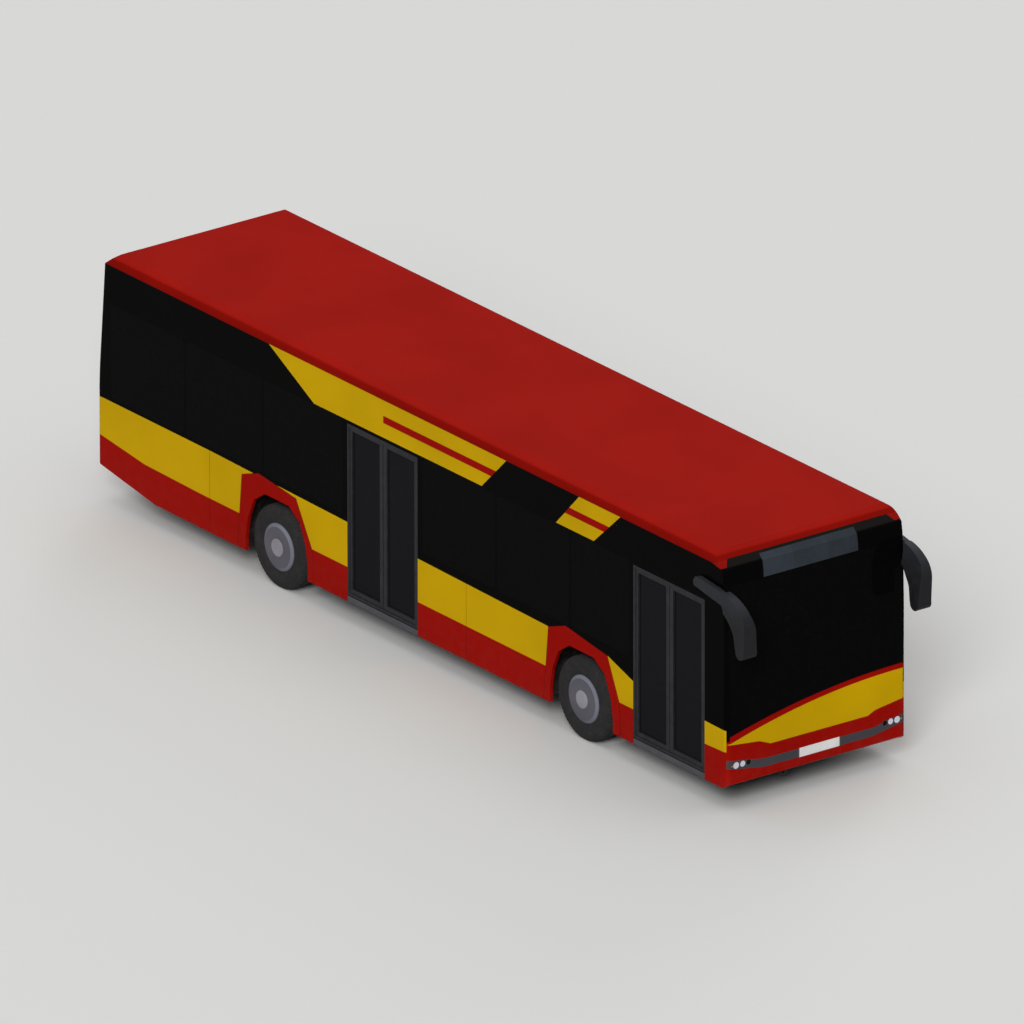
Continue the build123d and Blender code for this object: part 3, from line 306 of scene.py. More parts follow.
def painted(name, colour, film=0.06, gloss=0.2, level=0.012):
    """A clear-coated paint of one colour, or of a colour worked out in its tree."""
    plain = {"Specular_IOR_Level": level}
    return dressed(name, paint_film, colour, plain, Film=film, Gloss=gloss)


def axes(tree):
    """The x, y and z of the shaded point."""
    split = node(tree, "SeparateXYZ", {0: place(tree)}).outputs
    return split["X"], split["Y"], split["Z"]


def roof_scheme(tree):
    """Red, with painted shade: a deeper red on the rounded edge under the level skin."""
    return mixed(tree, spread(tree, axes(tree)[2], *roof_edge_shade_band), shaded_roof_red, red_roof)


coat_nodes(painted("roof_red", roof_scheme, film=0.0, gloss=0.5, level=0.003), "roof")

# --- side walls --------------------------------------------------------------------------------
# The window band: bonded aluminium panels in gloss black, with yellow fields sprayed on above
# the windows and a red line along the middle of each. Both sides carry the same scheme.
black, yellow, red_side = paint(6, 5, 5), paint(192, 154, 4), paint(146, 10, 4)
fields_bottom = [(-2.015, 2.514), (1.178, 2.520)]
long_field = {
    "left": [(-2.879, 2.975), (-2.015, 2.514)],
    "right": [(1.178, 2.520), (1.638, 2.969)],
}
short_field_left = [(2.582, 2.521), (3.018, 2.973)]
short_field_right = [(3.292, 2.519), (3.788, 2.967)]
line_heights, line_start = (2.695, 2.785), -0.692
corner_start, corner_slope, corner_foot = (5.61, 1.13), 0.853, (5.48, 5.68, 2.975, 2.944)
# A darker red than the roof's, as painted shade on the faces that turn down at the front corners.
shaded_corner_red = paint(132, 17, 11)


def height_at(tree, across, first, second):
    """Height of the straight line through two (station, height) points, at each station."""
    slope = (second[1] - first[1]) / (second[0] - first[0])
    return calc(tree, "MULTIPLY_ADD", across, slope, first[1] - slope * first[0])


def highest(tree, *values):
    """The largest of several values."""
    top = values[0]
    for value in values[1:]:
        top = calc(tree, "MAXIMUM", top, value)
    return top


def lowest(tree, *values):
    """The smallest of several values."""
    least = values[0]
    for value in values[1:]:
        least = calc(tree, "MINIMUM", least, value)
    return least


def above(tree, value, limit):
    """1 where value is over limit, with an edge a millimetre wide."""
    over = calc(tree, "SUBTRACT", value, limit)
    return node(tree, "MapRange", {0: over, 1: -0.0005, 2: 0.0005}).outputs[0]


def both(tree, *masks):
    """1 where all the masks are 1."""
    kept = masks[0]
    for mask in masks[1:]:
        kept = calc(tree, "MULTIPLY", kept, mask)
    return kept


# The roof's red, brought down round the two front corners over the colour that it is given:
# outside |y| = 1.13 + 0.853 (x - 5.61), and above a foot that falls towards the front. Its tone
# is darker than the roof's, as painted shade on these turned-down faces.
corner_red, given, result = group("corner_red", {"Colour": black}, {"Colour": "Color"})
x, y, z = axes(corner_red)
run = calc(corner_red, "SUBTRACT", x, corner_start[0])
edge = calc(corner_red, "MULTIPLY_ADD", run, corner_slope, corner_start[1])
outside = above(corner_red, calc(corner_red, "ABSOLUTE", y), edge)
over_foot = above(corner_red, z, spread(corner_red, x, *corner_foot))
corner = both(corner_red, over_foot, outside)
send(corner_red, result, Colour=mixed(corner_red, corner, given["Colour"], shaded_corner_red))


def window_band(tree):
    """Black, with the two yellow fields and their red lines, and red at the front corners."""
    x, _, z = axes(tree)
    bottom = height_at(tree, x, *fields_bottom)
    long_left = height_at(tree, x, *long_field["left"])
    long_right = height_at(tree, x, *long_field["right"])
    long_mask = above(tree, z, highest(tree, bottom, long_left, long_right))
    short_mask = both(
        tree,
        above(tree, z, highest(tree, bottom, height_at(tree, x, *short_field_right))),
        above(tree, height_at(tree, x, *short_field_left), z),
    )
    band = both(tree, above(tree, z, line_heights[0]), above(tree, line_heights[1], z))
    long_line = both(tree, long_mask, band, above(tree, x, line_start))
    field = mixed(tree, highest(tree, long_mask, short_mask), black, yellow)
    lines = highest(tree, long_line, both(tree, short_mask, band))
    return use(tree, corner_red, Colour=mixed(tree, lines, field, red_side))["Colour"]


coat_nodes(painted("window_band_paint", window_band, film=0.0), "left_side", "right_side")

# --- lower side panels and arch trims ----------------------------------------------------------
# Screwed-on aluminium panels, sprayed red with a broad yellow band under the window band. Red
# glass-fibre trims go round the wheel arches, sealed to the panels with a dark joint.
front_axle_x, rear_axle_x = 3.060, -2.740
band_bottom = [(-6.2, 0.832), (-5.284, 0.723), (-4.2, 0.705), (4.9, 0.705), (5.6, 0.729)]
panel_joints, joint_half, joint_black = (-4.027, 0.880), 0.0022, paint(28, 8, 6)
# The trims' outlines about their axles, from the rear foot over the wheel to the front foot.
trim_outlines = {
    front_axle_x: [
        (-0.718, 0.285), (-0.627, 1.203), (-0.300, 1.319), (0.493, 1.205), (0.716, 0.705),
        (0.742, 0.285),
    ],
    rear_axle_x: [
        (-0.757, 0.285), (-0.670, 1.202), (-0.347, 1.317), (0.376, 1.233), (0.690, 0.685),
        (0.710, 0.285),
    ],
}


def side_band(tree):
    """Red below and yellow above a line that climbs a little at both ends, with dark joints."""
    x, _, z = axes(tree)
    lines = [height_at(tree, x, a, b) for a, b in zip(band_bottom, band_bottom[1:])]
    colour = mixed(tree, above(tree, z, highest(tree, *lines)), red_side, yellow)
    joints = [calc(tree, "ABSOLUTE", calc(tree, "SUBTRACT", x, joint)) for joint in panel_joints]
    return mixed(tree, above(tree, lowest(tree, *joints), joint_half), joint_black, colour)


def inside_trims(tree):
    """How far a point lies inside the arch trims' outlines: the least distance to an edge."""
    x, _, z = axes(tree)
    depths = []
    for axle, outline in trim_outlines.items():
        edges = []
        for (x1, z1), (x2, z2) in zip(outline, outline[1:]):
            length = math.hypot(x2 - x1, z2 - z1)
            slope_x, slope_z = (z2 - z1) / length, (x1 - x2) / length
            start = -slope_x * (axle + x1) - slope_z * z1
            along = calc(tree, "MULTIPLY_ADD", x, slope_x, start)
            edges.append(calc(tree, "MULTIPLY_ADD", z, slope_z, along))
        depths.append(lowest(tree, *edges))
    return highest(tree, *depths)


def arch_scheme(tree):
    """Red, with a dark sealed joint along the trim's edge."""
    return mixed(tree, above(tree, inside_trims(tree), 2 * joint_half), joint_black, red_side)


coat_nodes(painted("arch_red", arch_scheme), "wheel_arch_trims")

# --- front mask --------------------------------------------------------------------------------
# One glass-fibre moulding under the windscreen: a thin red line under the glass, a yellow field,
# red below it, and a grey strip that carries the lamps and the plate.
strip_grey = paint(66, 65, 70)
field_low = [
    (-1.262, 0.825), (-0.817, 0.775), (-0.655, 0.709), (0.726, 0.705), (0.834, 0.752),
    (1.261, 0.810),
]
strip_middle = [(-1.275, 0.586), (-0.750, 0.496), (0.800, 0.491), (1.275, 0.571)]
strip_half, line_width, wrap_start = 0.052, 0.030, 5.77

# The mask's colours, and the height of the field's curved top edge, which is
# 0.825 + 0.2259 (y + 1.262) - 0.0588 (y + 1.262)(y + 0.235).
mask_colours, _, result = group("mask_colours", {}, {"Colour": "Color", "Top": "Float"})
_, y, z = axes(mask_colours)
run = calc(mask_colours, "ADD", y, 1.262)
rate = calc(mask_colours, "ADD", y, 0.235)
rate = calc(mask_colours, "MULTIPLY_ADD", rate, -0.0588, 0.2259)
field_top = calc(mask_colours, "MULTIPLY_ADD", run, rate, 0.825)
low = [height_at(mask_colours, y, a, b) for a, b in zip(field_low, field_low[1:])]
low_left, low_right = lowest(mask_colours, *low[:2]), lowest(mask_colours, *low[3:])
low_edge = highest(mask_colours, low[2], low_left, low_right)
under_top = above(mask_colours, field_top, z)
field = both(mask_colours, above(mask_colours, z, low_edge), under_top)
middle = [height_at(mask_colours, y, a, b) for a, b in zip(strip_middle, strip_middle[1:])]
off = calc(mask_colours, "SUBTRACT", z, highest(mask_colours, *middle))
strip = above(mask_colours, strip_half, calc(mask_colours, "ABSOLUTE", off))
colour = mixed(mask_colours, strip, mixed(mask_colours, field, red_side, yellow), strip_grey)
send(mask_colours, result, Colour=colour, Top=field_top)


def front_scheme(tree):
    """The mask's colours: red, with the yellow field and the grey strip."""
    return use(tree, mask_colours)["Colour"]


def panel_scheme(tree):
    """The side band, with the front's colours, and black over them, on the wrapped corners."""
    x, _, z = axes(tree)
    front = use(tree, mask_colours)
    line_top = calc(tree, "ADD", front["Top"], line_width)
    front = mixed(tree, above(tree, z, line_top), front["Colour"], black)
    return mixed(tree, above(tree, x, wrap_start), side_band(tree), front)


coat_nodes(painted("front_paint", front_scheme), "front_mask")
coat_nodes(painted("side_panel_paint", panel_scheme), "skirt_panels")

# --- glass -------------------------------------------------------------------------------------
# Deep-tinted, ceramic-edged safety glass, bonded flush over the openings. It looks black from
# outside; a trace of dust dulls it, and the panes are very slightly wavy.
glass_dust = paint(58, 56, 54)
glass_film, given, result = group(
    "glass_film",
    {"Colour": black, "Roughness": 0.06},
    {"Colour": "Color", "Roughness": "Float", "Normal": "Vector"},
)
dust = spread(glass_film, noise(glass_film, 14.0, 7.0, 0.7), 0.45, 0.8, 0.0, 0.04)
send(
    glass_film,
    result,
    Colour=mixed(glass_film, dust, given["Colour"], glass_dust),
    Roughness=calc(glass_film, "MULTIPLY_ADD", dust, 0.8, given["Roughness"]),
    Normal=bump(glass_film, noise(glass_film, 2.2, 1.0), 0.0012),
)


def tinted_glass(name, colour, roughness=0.06, level=0.015):
    """Dark polished glass with a trace of dust on it."""
    return dressed(name, glass_film, colour, {"Specular_IOR_Level": level}, Roughness=roughness)


glass = tinted_glass("tinted_glass", paint(6, 6, 7))
coat_nodes(glass, "side_windows", "windscreen", "rear_window")

# --- front header ------------------------------------------------------------------------------
# A glass-fibre panel over the windscreen, bonded under the roof's edge and sprayed gloss black.
# Its sloping top is painted a little lighter as a highlight, and the roof's red comes round
# its two ends.
# The lighter grey on the header's sloping top is a painted highlight.
header_slope, header_highlight_grey = (2.93, 2.95), paint(24, 23, 21)


def header_scheme(tree):
    """Gloss black, painted a little lighter on the sloping top as a highlight, with the roof's
    red at its two ends.
    """
    colour = mixed(tree, spread(tree, axes(tree)[2], *header_slope), black, header_highlight_grey)
    return use(tree, corner_red, Colour=colour)["Colour"]


coat_nodes(painted("header_paint", header_scheme, film=0.0), "front_header")

# --- tyres -------------------------------------------------------------------------------------
# Black rubber city tyres, 1.01 m across and 275 mm wide, with four zigzag grooves and a slotted
# shoulder. The section goes from the inner bead over the tread to the outer bead.
tyre_middle, inner_twin, axle_height = 1.1175, 0.8025, 0.505
tyre_top, tread_edge, groove_depth, slot_depth = 0.505, 0.497, 0.013, 0.009
pitches, steps = 64, 4
zigzag, groove_width, groove_lip, groove_places = 0.0035, 0.009, 0.0012, (0.026, 0.066)
wall_line = [
    (0.118, 0.2905), (0.1225, 0.297), (0.1245, 0.306), (0.1300, 0.322), (0.1355, 0.350),
    (0.1375, 0.385), (0.1370, 0.405), (0.1382, 0.409), (0.1382, 0.415), (0.1355, 0.419),
    (0.1300, 0.447), (0.1240, 0.468), (0.1175, 0.488), (0.1100, 0.4965), (0.1000, 0.5005),
]


def close_up(made):
    """Merge points that coincide, and turn every face outwards."""
    shape = bmesh.new()
    shape.from_mesh(made.data)
    bmesh.ops.remove_doubles(shape, verts=shape.verts, dist=1e-5)
    bmesh.ops.recalc_face_normals(shape, faces=shape.faces)
    shape.to_mesh(made.data)
    shape.free()
    return made


def tyre_section():
    """Half widths, radii and groove shares from the middle of the tread to the bead."""
    tread = [(0.0, tyre_top, 0.0)]
    for place in groove_places:
        lips = (-groove_lip, 0.0, groove_width, groove_width + groove_lip)
        for edge, cut in zip(lips, (0, 1, 1, 0)):
            across = place - groove_width / 2 + edge
            tread.append((across, tyre_top - 0.25 * across**2, cut))
    tread.append((0.088, tyre_top - 0.0025, 0.0))
    wall = [(across, radius, 0.0) for across, radius in reversed(wall_line)]
    return np.array(tread + wall)


def tyre_surface(axle_x, middle_y, side):
    """The section turned about the axle; grooves weave and the shoulders are cut once a pitch."""
    half = tyre_section()
    section = np.vstack((half[::-1] * (-1, 1, 1), half[1:]))
    angle = np.linspace(0, 2 * math.pi, pitches * steps, endpoint=False)[:, None]
    phase = (np.arange(pitches * steps) % steps)[:, None] / steps
    across, radius, cut = section.T[:, None, :]
    weave = zigzag * (np.abs(2 * phase - 1) * 2 - 1)
    on_tread = np.abs(across) < 0.08
    width = across + np.where(on_tread & (np.abs(across) > 0.01), weave, 0)
    shoulder = (np.abs(across) > 0.087) & (np.abs(across) < 0.1225) & (radius > 0.46)
    slot = np.where(shoulder & (phase < 0.2), slot_depth, 0)
    reach = radius - cut * groove_depth - slot
    y = side * (middle_y + width)
    x, z = axle_x + reach * np.sin(angle), axle_height + reach * np.cos(angle)
    return panel(np.stack((x, np.broadcast_to(y, x.shape), z), -1), wrap_rows=True)


# Distance from the nearer axle, in side view: the root of run squared plus height squared.
wheel_radius, _, result = group("wheel_radius", {}, {"Radius": "Float"})
x, _, z = axes(wheel_radius)
high = calc(wheel_radius, "SUBTRACT", z, axle_height)
runs = [calc(wheel_radius, "SUBTRACT", x, axle) for axle in (front_axle_x, rear_axle_x)]
near = lowest(wheel_radius, *[calc(wheel_radius, "ABSOLUTE", run) for run in runs])
square = calc(wheel_radius, "MULTIPLY", high, high)
square = calc(wheel_radius, "MULTIPLY_ADD", near, near, square)
send(wheel_radius, result, Radius=calc(wheel_radius, "SQRT", square))

rubber, tree, shader = finish("tyre_rubber", Specular_IOR_Level=0.12)
radius = use(tree, wheel_radius)["Radius"]
moulding = calc(tree, "SINE", calc(tree, "MULTIPLY", radius, 900.0))
dusty = spread(tree, noise(tree, 9.0, 8.0, 0.7), 0.4, 0.75, 0.0, 0.35)
scuffs = spread(tree, noise(tree, 60.0, 4.0), 0.35, 0.7)
worn = spread(tree, scuffs, 0.2, 0.9, 0.2, 0.5)
worn = calc(tree, "MULTIPLY", above(tree, radius, tread_edge), worn)
base = mixed(tree, dusty, paint(38, 37, 39), paint(62, 58, 54))
give(tree, shader, Base_Color=mixed(tree, worn, base, paint(64, 63, 64)))
give(tree, shader, Roughness=calc(tree, "MULTIPLY_ADD", scuffs, 0.15, 0.72))
give(tree, shader, Normal=bump(tree, moulding, 0.00025, bump(tree, scuffs, 0.0004)))

for side_name, side in (("left", 1), ("right", -1)):
    surface = tyre_surface(front_axle_x, tyre_middle, side)
    tyre = close_up(build(f"front_{side_name}_tyre_tread", [surface], rubber, 38))
    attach(tyre, f"front_{side_name}_wheel")
    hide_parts(f"front_{side_name}_tyre")
    twins = [tyre_surface(rear_axle_x, middle, side) for middle in (tyre_middle, inner_twin)]
    tyre = close_up(build(f"rear_{side_name}_tyre_treads", twins, rubber, 38))
    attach(tyre, f"rear_{side_name}_wheels")
    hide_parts(f"rear_{side_name}_tyres")

# --- rims and hub caps -------------------------------------------------------------------------
# Pressed steel discs in grey enamel, painted a little lighter on the sloping ring outside as a
# highlight and darker towards the ring's foot as shade, each with a spun aluminium cap over
# its hub.
ring_radius, flange_edge, hub_face, cap_sunk = 0.246, 0.2815, 1.2735, 0.001

# Enamel, moulded plastic, powder-coated steel and castings share one fine grain: a little tone,
# a bump of the surface's own scale, and roughness that varies with it.
grained, given, result = group(
    "grained",
    {"Colour": black, "Roughness": 0.5, "Grain": 600.0, "Depth": 0.0001, "Dust": 0.1},
    {"Colour": "Color", "Roughness": "Float", "Normal": "Vector"},
)
tone = spread(grained, noise(grained, 3.1, 4.0), 0.3, 0.7, 0.9, 1.1)
toned = node(grained, "HueSaturation", {"Value": tone, "Color": given["Colour"]}).outputs[0]
dusty = spread(grained, noise(grained, 11.0, 7.0, 0.66), 0.42, 0.8)
dust = calc(grained, "MULTIPLY", dusty, given["Dust"])
fine = noise(grained, given["Grain"], 2.0)
depth = node(grained, "Bump", {"Strength": 1.0, "Distance": given["Depth"], "Height": fine})
send(
    grained,
    result,
    Colour=mixed(grained, dust, toned, road_film),
    Roughness=calc(grained, "MULTIPLY_ADD", dusty, 0.12, given["Roughness"]),
    Normal=depth.outputs[0],
)


def coated(name, colour, roughness=0.5, grain=600.0, depth=0.0001, dust=0.1, **plain):
    """A grained finish of one colour, or of a colour worked out in its tree."""
    plain.setdefault("Specular_IOR_Level", 0.1)
    values = {"Roughness": roughness, "Grain": grain, "Depth": depth, "Dust": dust}
    return dressed(name, grained, colour, plain, **values)


def rim_colour(tree):
    """Grey disc, painted darker towards the ring's foot as shade, with a lighter ring round it as
    a painted highlight, and darker grey on the seat beyond the flange's edge.
    """
    radius = use(tree, wheel_radius)["Radius"]
    # Painted highlight: the sloping ring is a lighter grey than the disc.
    highlight_ring = above(tree, radius, ring_radius)
    # Painted shade: the disc turns darker towards the foot of the ring.
    shade = spread(tree, radius, 0.19, ring_radius, 0.0, 0.35)
    disc = mixed(tree, shade, paint(86, 85, 93), paint(76, 78, 88))
    colour = mixed(tree, highlight_ring, disc, paint(108, 110, 122))
    seat = above(tree, radius, flange_edge)
    return mixed(tree, seat, colour, paint(70, 70, 74))


enamel = coated("rim_enamel", rim_colour, roughness=0.42, grain=380.0, dust=0.16)
for side_name in ("left", "right"):
    coat_nodes(enamel, f"front_{side_name}_rim", f"rear_{side_name}_rims")

cap_metal = coated(
    "hub_cap_metal", paint(132, 130, 140), roughness=0.3, grain=420.0, depth=0.00005, dust=0.08,
    Specular_IOR_Level=0.3,
)
cap_line = [
    (0.0, -0.012), (0.1075, -0.012), (0.1078, -0.002), (0.1060, 0.0010), (0.1015, 0.0025),
    (0.0930, 0.0028), (0.0915, 0.0016), (0.0895, 0.0016), (0.0880, 0.0030), (0.0600, 0.0050),
    (0.0300, 0.0062), (0.0, 0.0066),
]


def turned(line, axle_x, face_y, side, around=64):
    """A line of (radius, distance outwards) turned about a wheel's axle."""
    radius, out = np.array(line).T[:, None, :]
    angle = np.linspace(0, 2 * math.pi, around, endpoint=False)[:, None]
    x, z = axle_x + radius * np.sin(angle), axle_height + radius * np.cos(angle)
    y = np.broadcast_to(side * (face_y + out), x.shape)
    return panel(np.stack((x, y, z), -1), wrap_rows=True)


for side_name, side in (("left", 1), ("right", -1)):
    for axle, axle_x, body in (
        ("front", front_axle_x, f"front_{side_name}_wheel"),
        ("rear", rear_axle_x, f"rear_{side_name}_wheels"),
    ):
        surface = turned(cap_line, axle_x, hub_face - cap_sunk, side)
        cap = close_up(build(f"{axle}_{side_name}_hub_cap", [surface], cap_metal, 35))
        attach(cap, body)

# --- doors -------------------------------------------------------------------------------------
# Extruded aluminium leaves in grey satin round dark bonded panes, with rubber finger guards where
# two leaves meet, inside a fixed surround of the same extrusion over a seal and a worn grey sill.
door_middles = {"front": 4.7075, "middle": -0.7140}
door_half, leaf_low, leaf_high, floor_top, door_top = 0.6725, 0.400, 2.425, 0.355, 2.475
leaf_face, leaf_back, surround_face, surround_back = -1.262, -1.230, -1.2738, -1.2642
surround_profile = [
    (0.0, surround_back), (0.0, surround_face + 0.001), (0.05, surround_face),
    (0.62, surround_face), (0.68, surround_face + 0.0035), (0.95, surround_face + 0.0035),
    (1.0, surround_face + 0.0055), (1.0, surround_back),
]
sill_section = ((-1.2742, 0.2862), (-1.2500, 0.3535))
seal_section = ((-1.2754, 0.3548), (-1.2700, 0.3668))
rib_heights, rib_depths, rib_size = (0.300, 0.316, 0.332), (-1.2752, -1.2736), 0.004
frame_gap, frame_width, end_gap, rib_gap = 0.001, 0.039, 0.004, 0.012
guard_width, guard_inset, leaf_gap = 0.0042, 0.004, 0.005


def brushed(tree):
    """Door grey with fine upright drawing lines."""
    x, y, _ = axes(tree)
    lines = node(tree, "CombineXYZ", {0: calc(tree, "MULTIPLY", x, 700.0), 1: y}).outputs[0]
    streak = node(tree, "TexNoise", {"Vector": lines, "Scale": 1.0, "Detail": 2.0}).outputs[0]
    return mixed(tree, spread(tree, streak, 0.3, 0.7), paint(33, 33, 37), paint(41, 41, 46))


door_satin = coated("door_satin", brushed, roughness=0.46, grain=900.0, depth=0.00003, dust=0.12)
guard_rubber = coated("guard_rubber", paint(14, 14, 15), roughness=0.75, grain=300.0)
sill_grey = coated(
    "sill_grey", paint(74, 74, 81), roughness=0.6, grain=240.0, depth=0.0002, dust=0.35
)
pane_glass = tinted_glass("door_glass", paint(21, 20, 24), roughness=0.08, level=0.02)


def loop(outer, inner, profile):
    """A closed frame: (share from outer to inner corner, y) carried round upright corners."""
    outer, inner, profile = (np.array(line, float) for line in (outer, inner, profile))
    share = profile[None, :, :1]
    flat = outer[:, None, :] * (1 - share) + inner[:, None, :] * share
    depth = np.broadcast_to(profile[None, :, 1:], (len(outer), len(profile), 1))
    points = np.insert(flat, 1, depth[..., 0], axis=2)
    return panel(points, wrap_rows=True, wrap_columns=True)


def bar(section, start, end, axis):
    """A closed section carried straight from start to end along an axis, with flat ends."""
    section = np.array(section, float)
    middle = np.broadcast_to(section.mean(0), section.shape)
    rings = np.stack((middle, section, section, middle))
    along = np.array((start, start, end, end), float)[:, None]
    points = np.insert(rings, axis, np.broadcast_to(along, rings.shape[:2]), axis=2)
    return panel(points, wrap_columns=True)


def rounded(low, high, radius, steps=4):
    """A rectangle between two corners with quarter-circle corners, as a closed section."""
    low, high = np.array(low, float) + radius, np.array(high, float) - radius
    turn = np.radians(np.linspace(0, 90, steps))
    arcs = []
    middles = (high, (low[0], high[1]), low, (high[0], low[1]))
    for quarter, middle in enumerate(middles):
        angle = turn + quarter * math.pi / 2
        arcs.append(np.array(middle) + radius * np.stack((np.cos(angle), np.sin(angle)), -1))
    return np.vstack(arcs)


def frame_corners(low_x, high_x, low_z, high_z):
    """The corners of an upright rectangle, as (x, z)."""
    return [(low_x, low_z), (high_x, low_z), (high_x, high_z), (low_x, high_z)]


for door, door_x in door_middles.items():
    start, end = door_x - door_half, door_x + door_half
    outer = frame_corners(
        start + frame_gap, end - frame_gap, floor_top + frame_gap, door_top - frame_gap
    )
    inner = frame_corners(
        start + frame_width, end - frame_width, leaf_low - 0.003, leaf_high + 0.004
    )
    surround = [loop(outer, inner, surround_profile)]
    tread = [bar(rounded(*sill_section, 0.004), start + end_gap, end - end_gap, 0)]
    for z in rib_heights:
        rib = rounded((rib_depths[0], z), (rib_depths[1], z + rib_size), 0.0007, 3)
        tread.append(bar(rib, start + rib_gap, end - rib_gap, 0))
    seal = [bar(rounded(*seal_section, 0.002), start + end_gap, end - end_gap, 0)]
    for name, parts, material, crease in (
        ("surround", surround, door_satin, 20),
        ("sill", tread, sill_grey, 30),
        ("seal", seal, guard_rubber, 30),
    ):
        fixed = close_up(build(f"{door}_door_{name}", parts, material, crease))
        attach(fixed, "bus_body")

    for part, along in (("rear", 1), ("front", -1)):
        name = f"{door}_door_{part}"
        free = door_x - along * leaf_gap
        near, far = sorted((free, free + along * guard_width))
        corners = (near, leaf_face + guard_inset), (far, leaf_back - guard_inset)
        edge = bar(rounded(*corners, 0.0018), leaf_low + guard_inset, leaf_high - guard_inset, 2)
        guards = close_up(build(f"{name}_finger_guard", [edge], guard_rubber, 40))
        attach(guards, f"{name}_leaf")
        coat_nodes(door_satin, f"{name}_leaf", f"{name}_arms")
        coat_nodes(pane_glass, f"{name}_pane")

# --- mirrors -----------------------------------------------------------------------------------
# Grained black plastic heads on arms bolted to the body sides, each with a heated glass on its
# rear face. A shallow groove parts the head's cap from its housing.
groove_middle, groove_radius, groove_half = (5.620, 2.105), 0.460, 0.0025
lit_upper_faces = (2.35, 2.70)
glass_foot, glass_top, glass_rear = (6.0373, 2.0429), (5.9977, 2.2321), (-0.979, -0.205)
glass_across, glass_sunk, glass_proud = (1.168, 1.327), -0.0005, 0.003


def mirror_colour(tree):
    """Near-black plastic, painted a little lighter on its upper faces as the light they catch,
    with the dark round groove.
    """
    x, _, z = axes(tree)
    # The upper faces are painted lighter, as the light that falls on them from above.
    tone = mixed(tree, spread(tree, z, *lit_upper_faces), paint(28, 28, 31), paint(38, 40, 45))
    run, rise = (calc(tree, "SUBTRACT", way, at) for way, at in zip((x, z), groove_middle))
    square = calc(tree, "MULTIPLY_ADD", run, run, calc(tree, "MULTIPLY", rise, rise))
    off = calc(tree, "SUBTRACT", calc(tree, "SQRT", square), groove_radius)
    off = calc(tree, "ABSOLUTE", off)
    return mixed(tree, above(tree, off, groove_half), paint(8, 8, 8), tone)


mirror_plastic = coated(
    "mirror_plastic", mirror_colour, roughness=0.5, grain=1100.0, depth=0.00012, dust=0.05
)
coat_nodes(mirror_plastic, "mirrors")
mirror_glass = coated(
    "mirror_glass", paint(150, 154, 160), roughness=0.04, grain=30.0, depth=0.00001, dust=0.06,
    Metallic=1.0,
)
foot, top, rear = np.array(glass_foot), np.array(glass_top), np.array(glass_rear)
for side, name in ((1, "left"), (-1, "right")):
    plate = [foot + glass_sunk * rear, top + glass_sunk * rear]
    plate += [top + glass_proud * rear, foot + glass_proud * rear]
    pane = bar(plate, side * glass_across[0], side * glass_across[1], 1)
    heated = close_up(build(f"{name}_mirror_glass", [pane], mirror_glass, 30))
    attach(heated, "bus_body")

# --- destination display -----------------------------------------------------------------------
# A dark amber-dot matrix behind grey glass, set into the header over the windscreen.
dot_pitch, facet_shade_edges = 0.0125, (-0.26, 0.22)


def matrix(tree):
    """Blue-grey glass in three slight tones of painted light and shade for three facets, with the
    faint rows of dots behind it.
    """
    _, y, z = axes(tree)
    # Painted light and shade: the glass is split across into three tones, as three facets lit
    # differently.
    tone = mixed(tree, above(tree, y, facet_shade_edges[0]), paint(43, 50, 58), paint(39, 46, 53))
    tone = mixed(tree, above(tree, y, facet_shade_edges[1]), tone, paint(36, 42, 49))
    turns = [calc(tree, "MULTIPLY", axis, 2 * math.pi / dot_pitch) for axis in (y, z)]
    waves = [calc(tree, "SINE", turn) for turn in turns]
    dots = spread(tree, lowest(tree, *waves), 0.35, 0.75, 0.0, 0.35)
    return mixed(tree, dots, tone, paint(58, 61, 64))


display_glass = coated(
    "display_glass", matrix, roughness=0.14, grain=40.0, depth=0.00004, dust=0.05
)
coat_nodes(display_glass, "destination_display")

# --- lamps -------------------------------------------------------------------------------------
# Round front lamps behind clear lenses in the grey strip: two white, one dark and a small amber
# one on each side. The tail lamps are upright clusters with stop, turn and reversing bands.
lamp_places = [(1.145, 0.045), (1.052, 0.040), (0.970, 0.036), (1.203, 0.011)]
lamp_height = 0.557
tail_bands, joint_width = (1.125, 1.215, 1.335), (0.004, 0.003)
stop_red, clear, amber = paint(150, 10, 8), paint(186, 186, 190), paint(198, 104, 12)


def front_lens(tree):
    """Each lamp's colour: a ringed bowl inside a dark bezel."""
    _, y, z = axes(tree)
    out, high = calc(tree, "ABSOLUTE", y), calc(tree, "SUBTRACT", z, lamp_height)
    shares = []
    for place, size in lamp_places:
        run = calc(tree, "SUBTRACT", out, place)
        square = calc(tree, "MULTIPLY_ADD", run, run, calc(tree, "MULTIPLY", high, high))
        shares.append(calc(tree, "DIVIDE", calc(tree, "SQRT", square), size))
    share = lowest(tree, *shares)
    wave = calc(tree, "SINE", calc(tree, "MULTIPLY", share, 40.0))
    rings = spread(tree, wave, -1.0, 1.0, 0.0, 0.22)
    bowl = mixed(tree, rings, paint(206, 205, 218), paint(160, 160, 176))
    bowl = mixed(tree, spread(tree, shares[2], 1.1, 1.05), bowl, paint(7, 7, 9))
    bowl = mixed(tree, spread(tree, shares[3], 1.3, 1.2), bowl, paint(160, 130, 12))
    return mixed(tree, spread(tree, share, 0.86, 0.92), bowl, paint(70, 70, 78))


lens_glass = coated(
    "front_lens", front_lens, roughness=0.12, grain=70.0, depth=0.00006, dust=0.0,
    Specular_IOR_Level=0.08,
)
coat_nodes(lens_glass, "headlights")


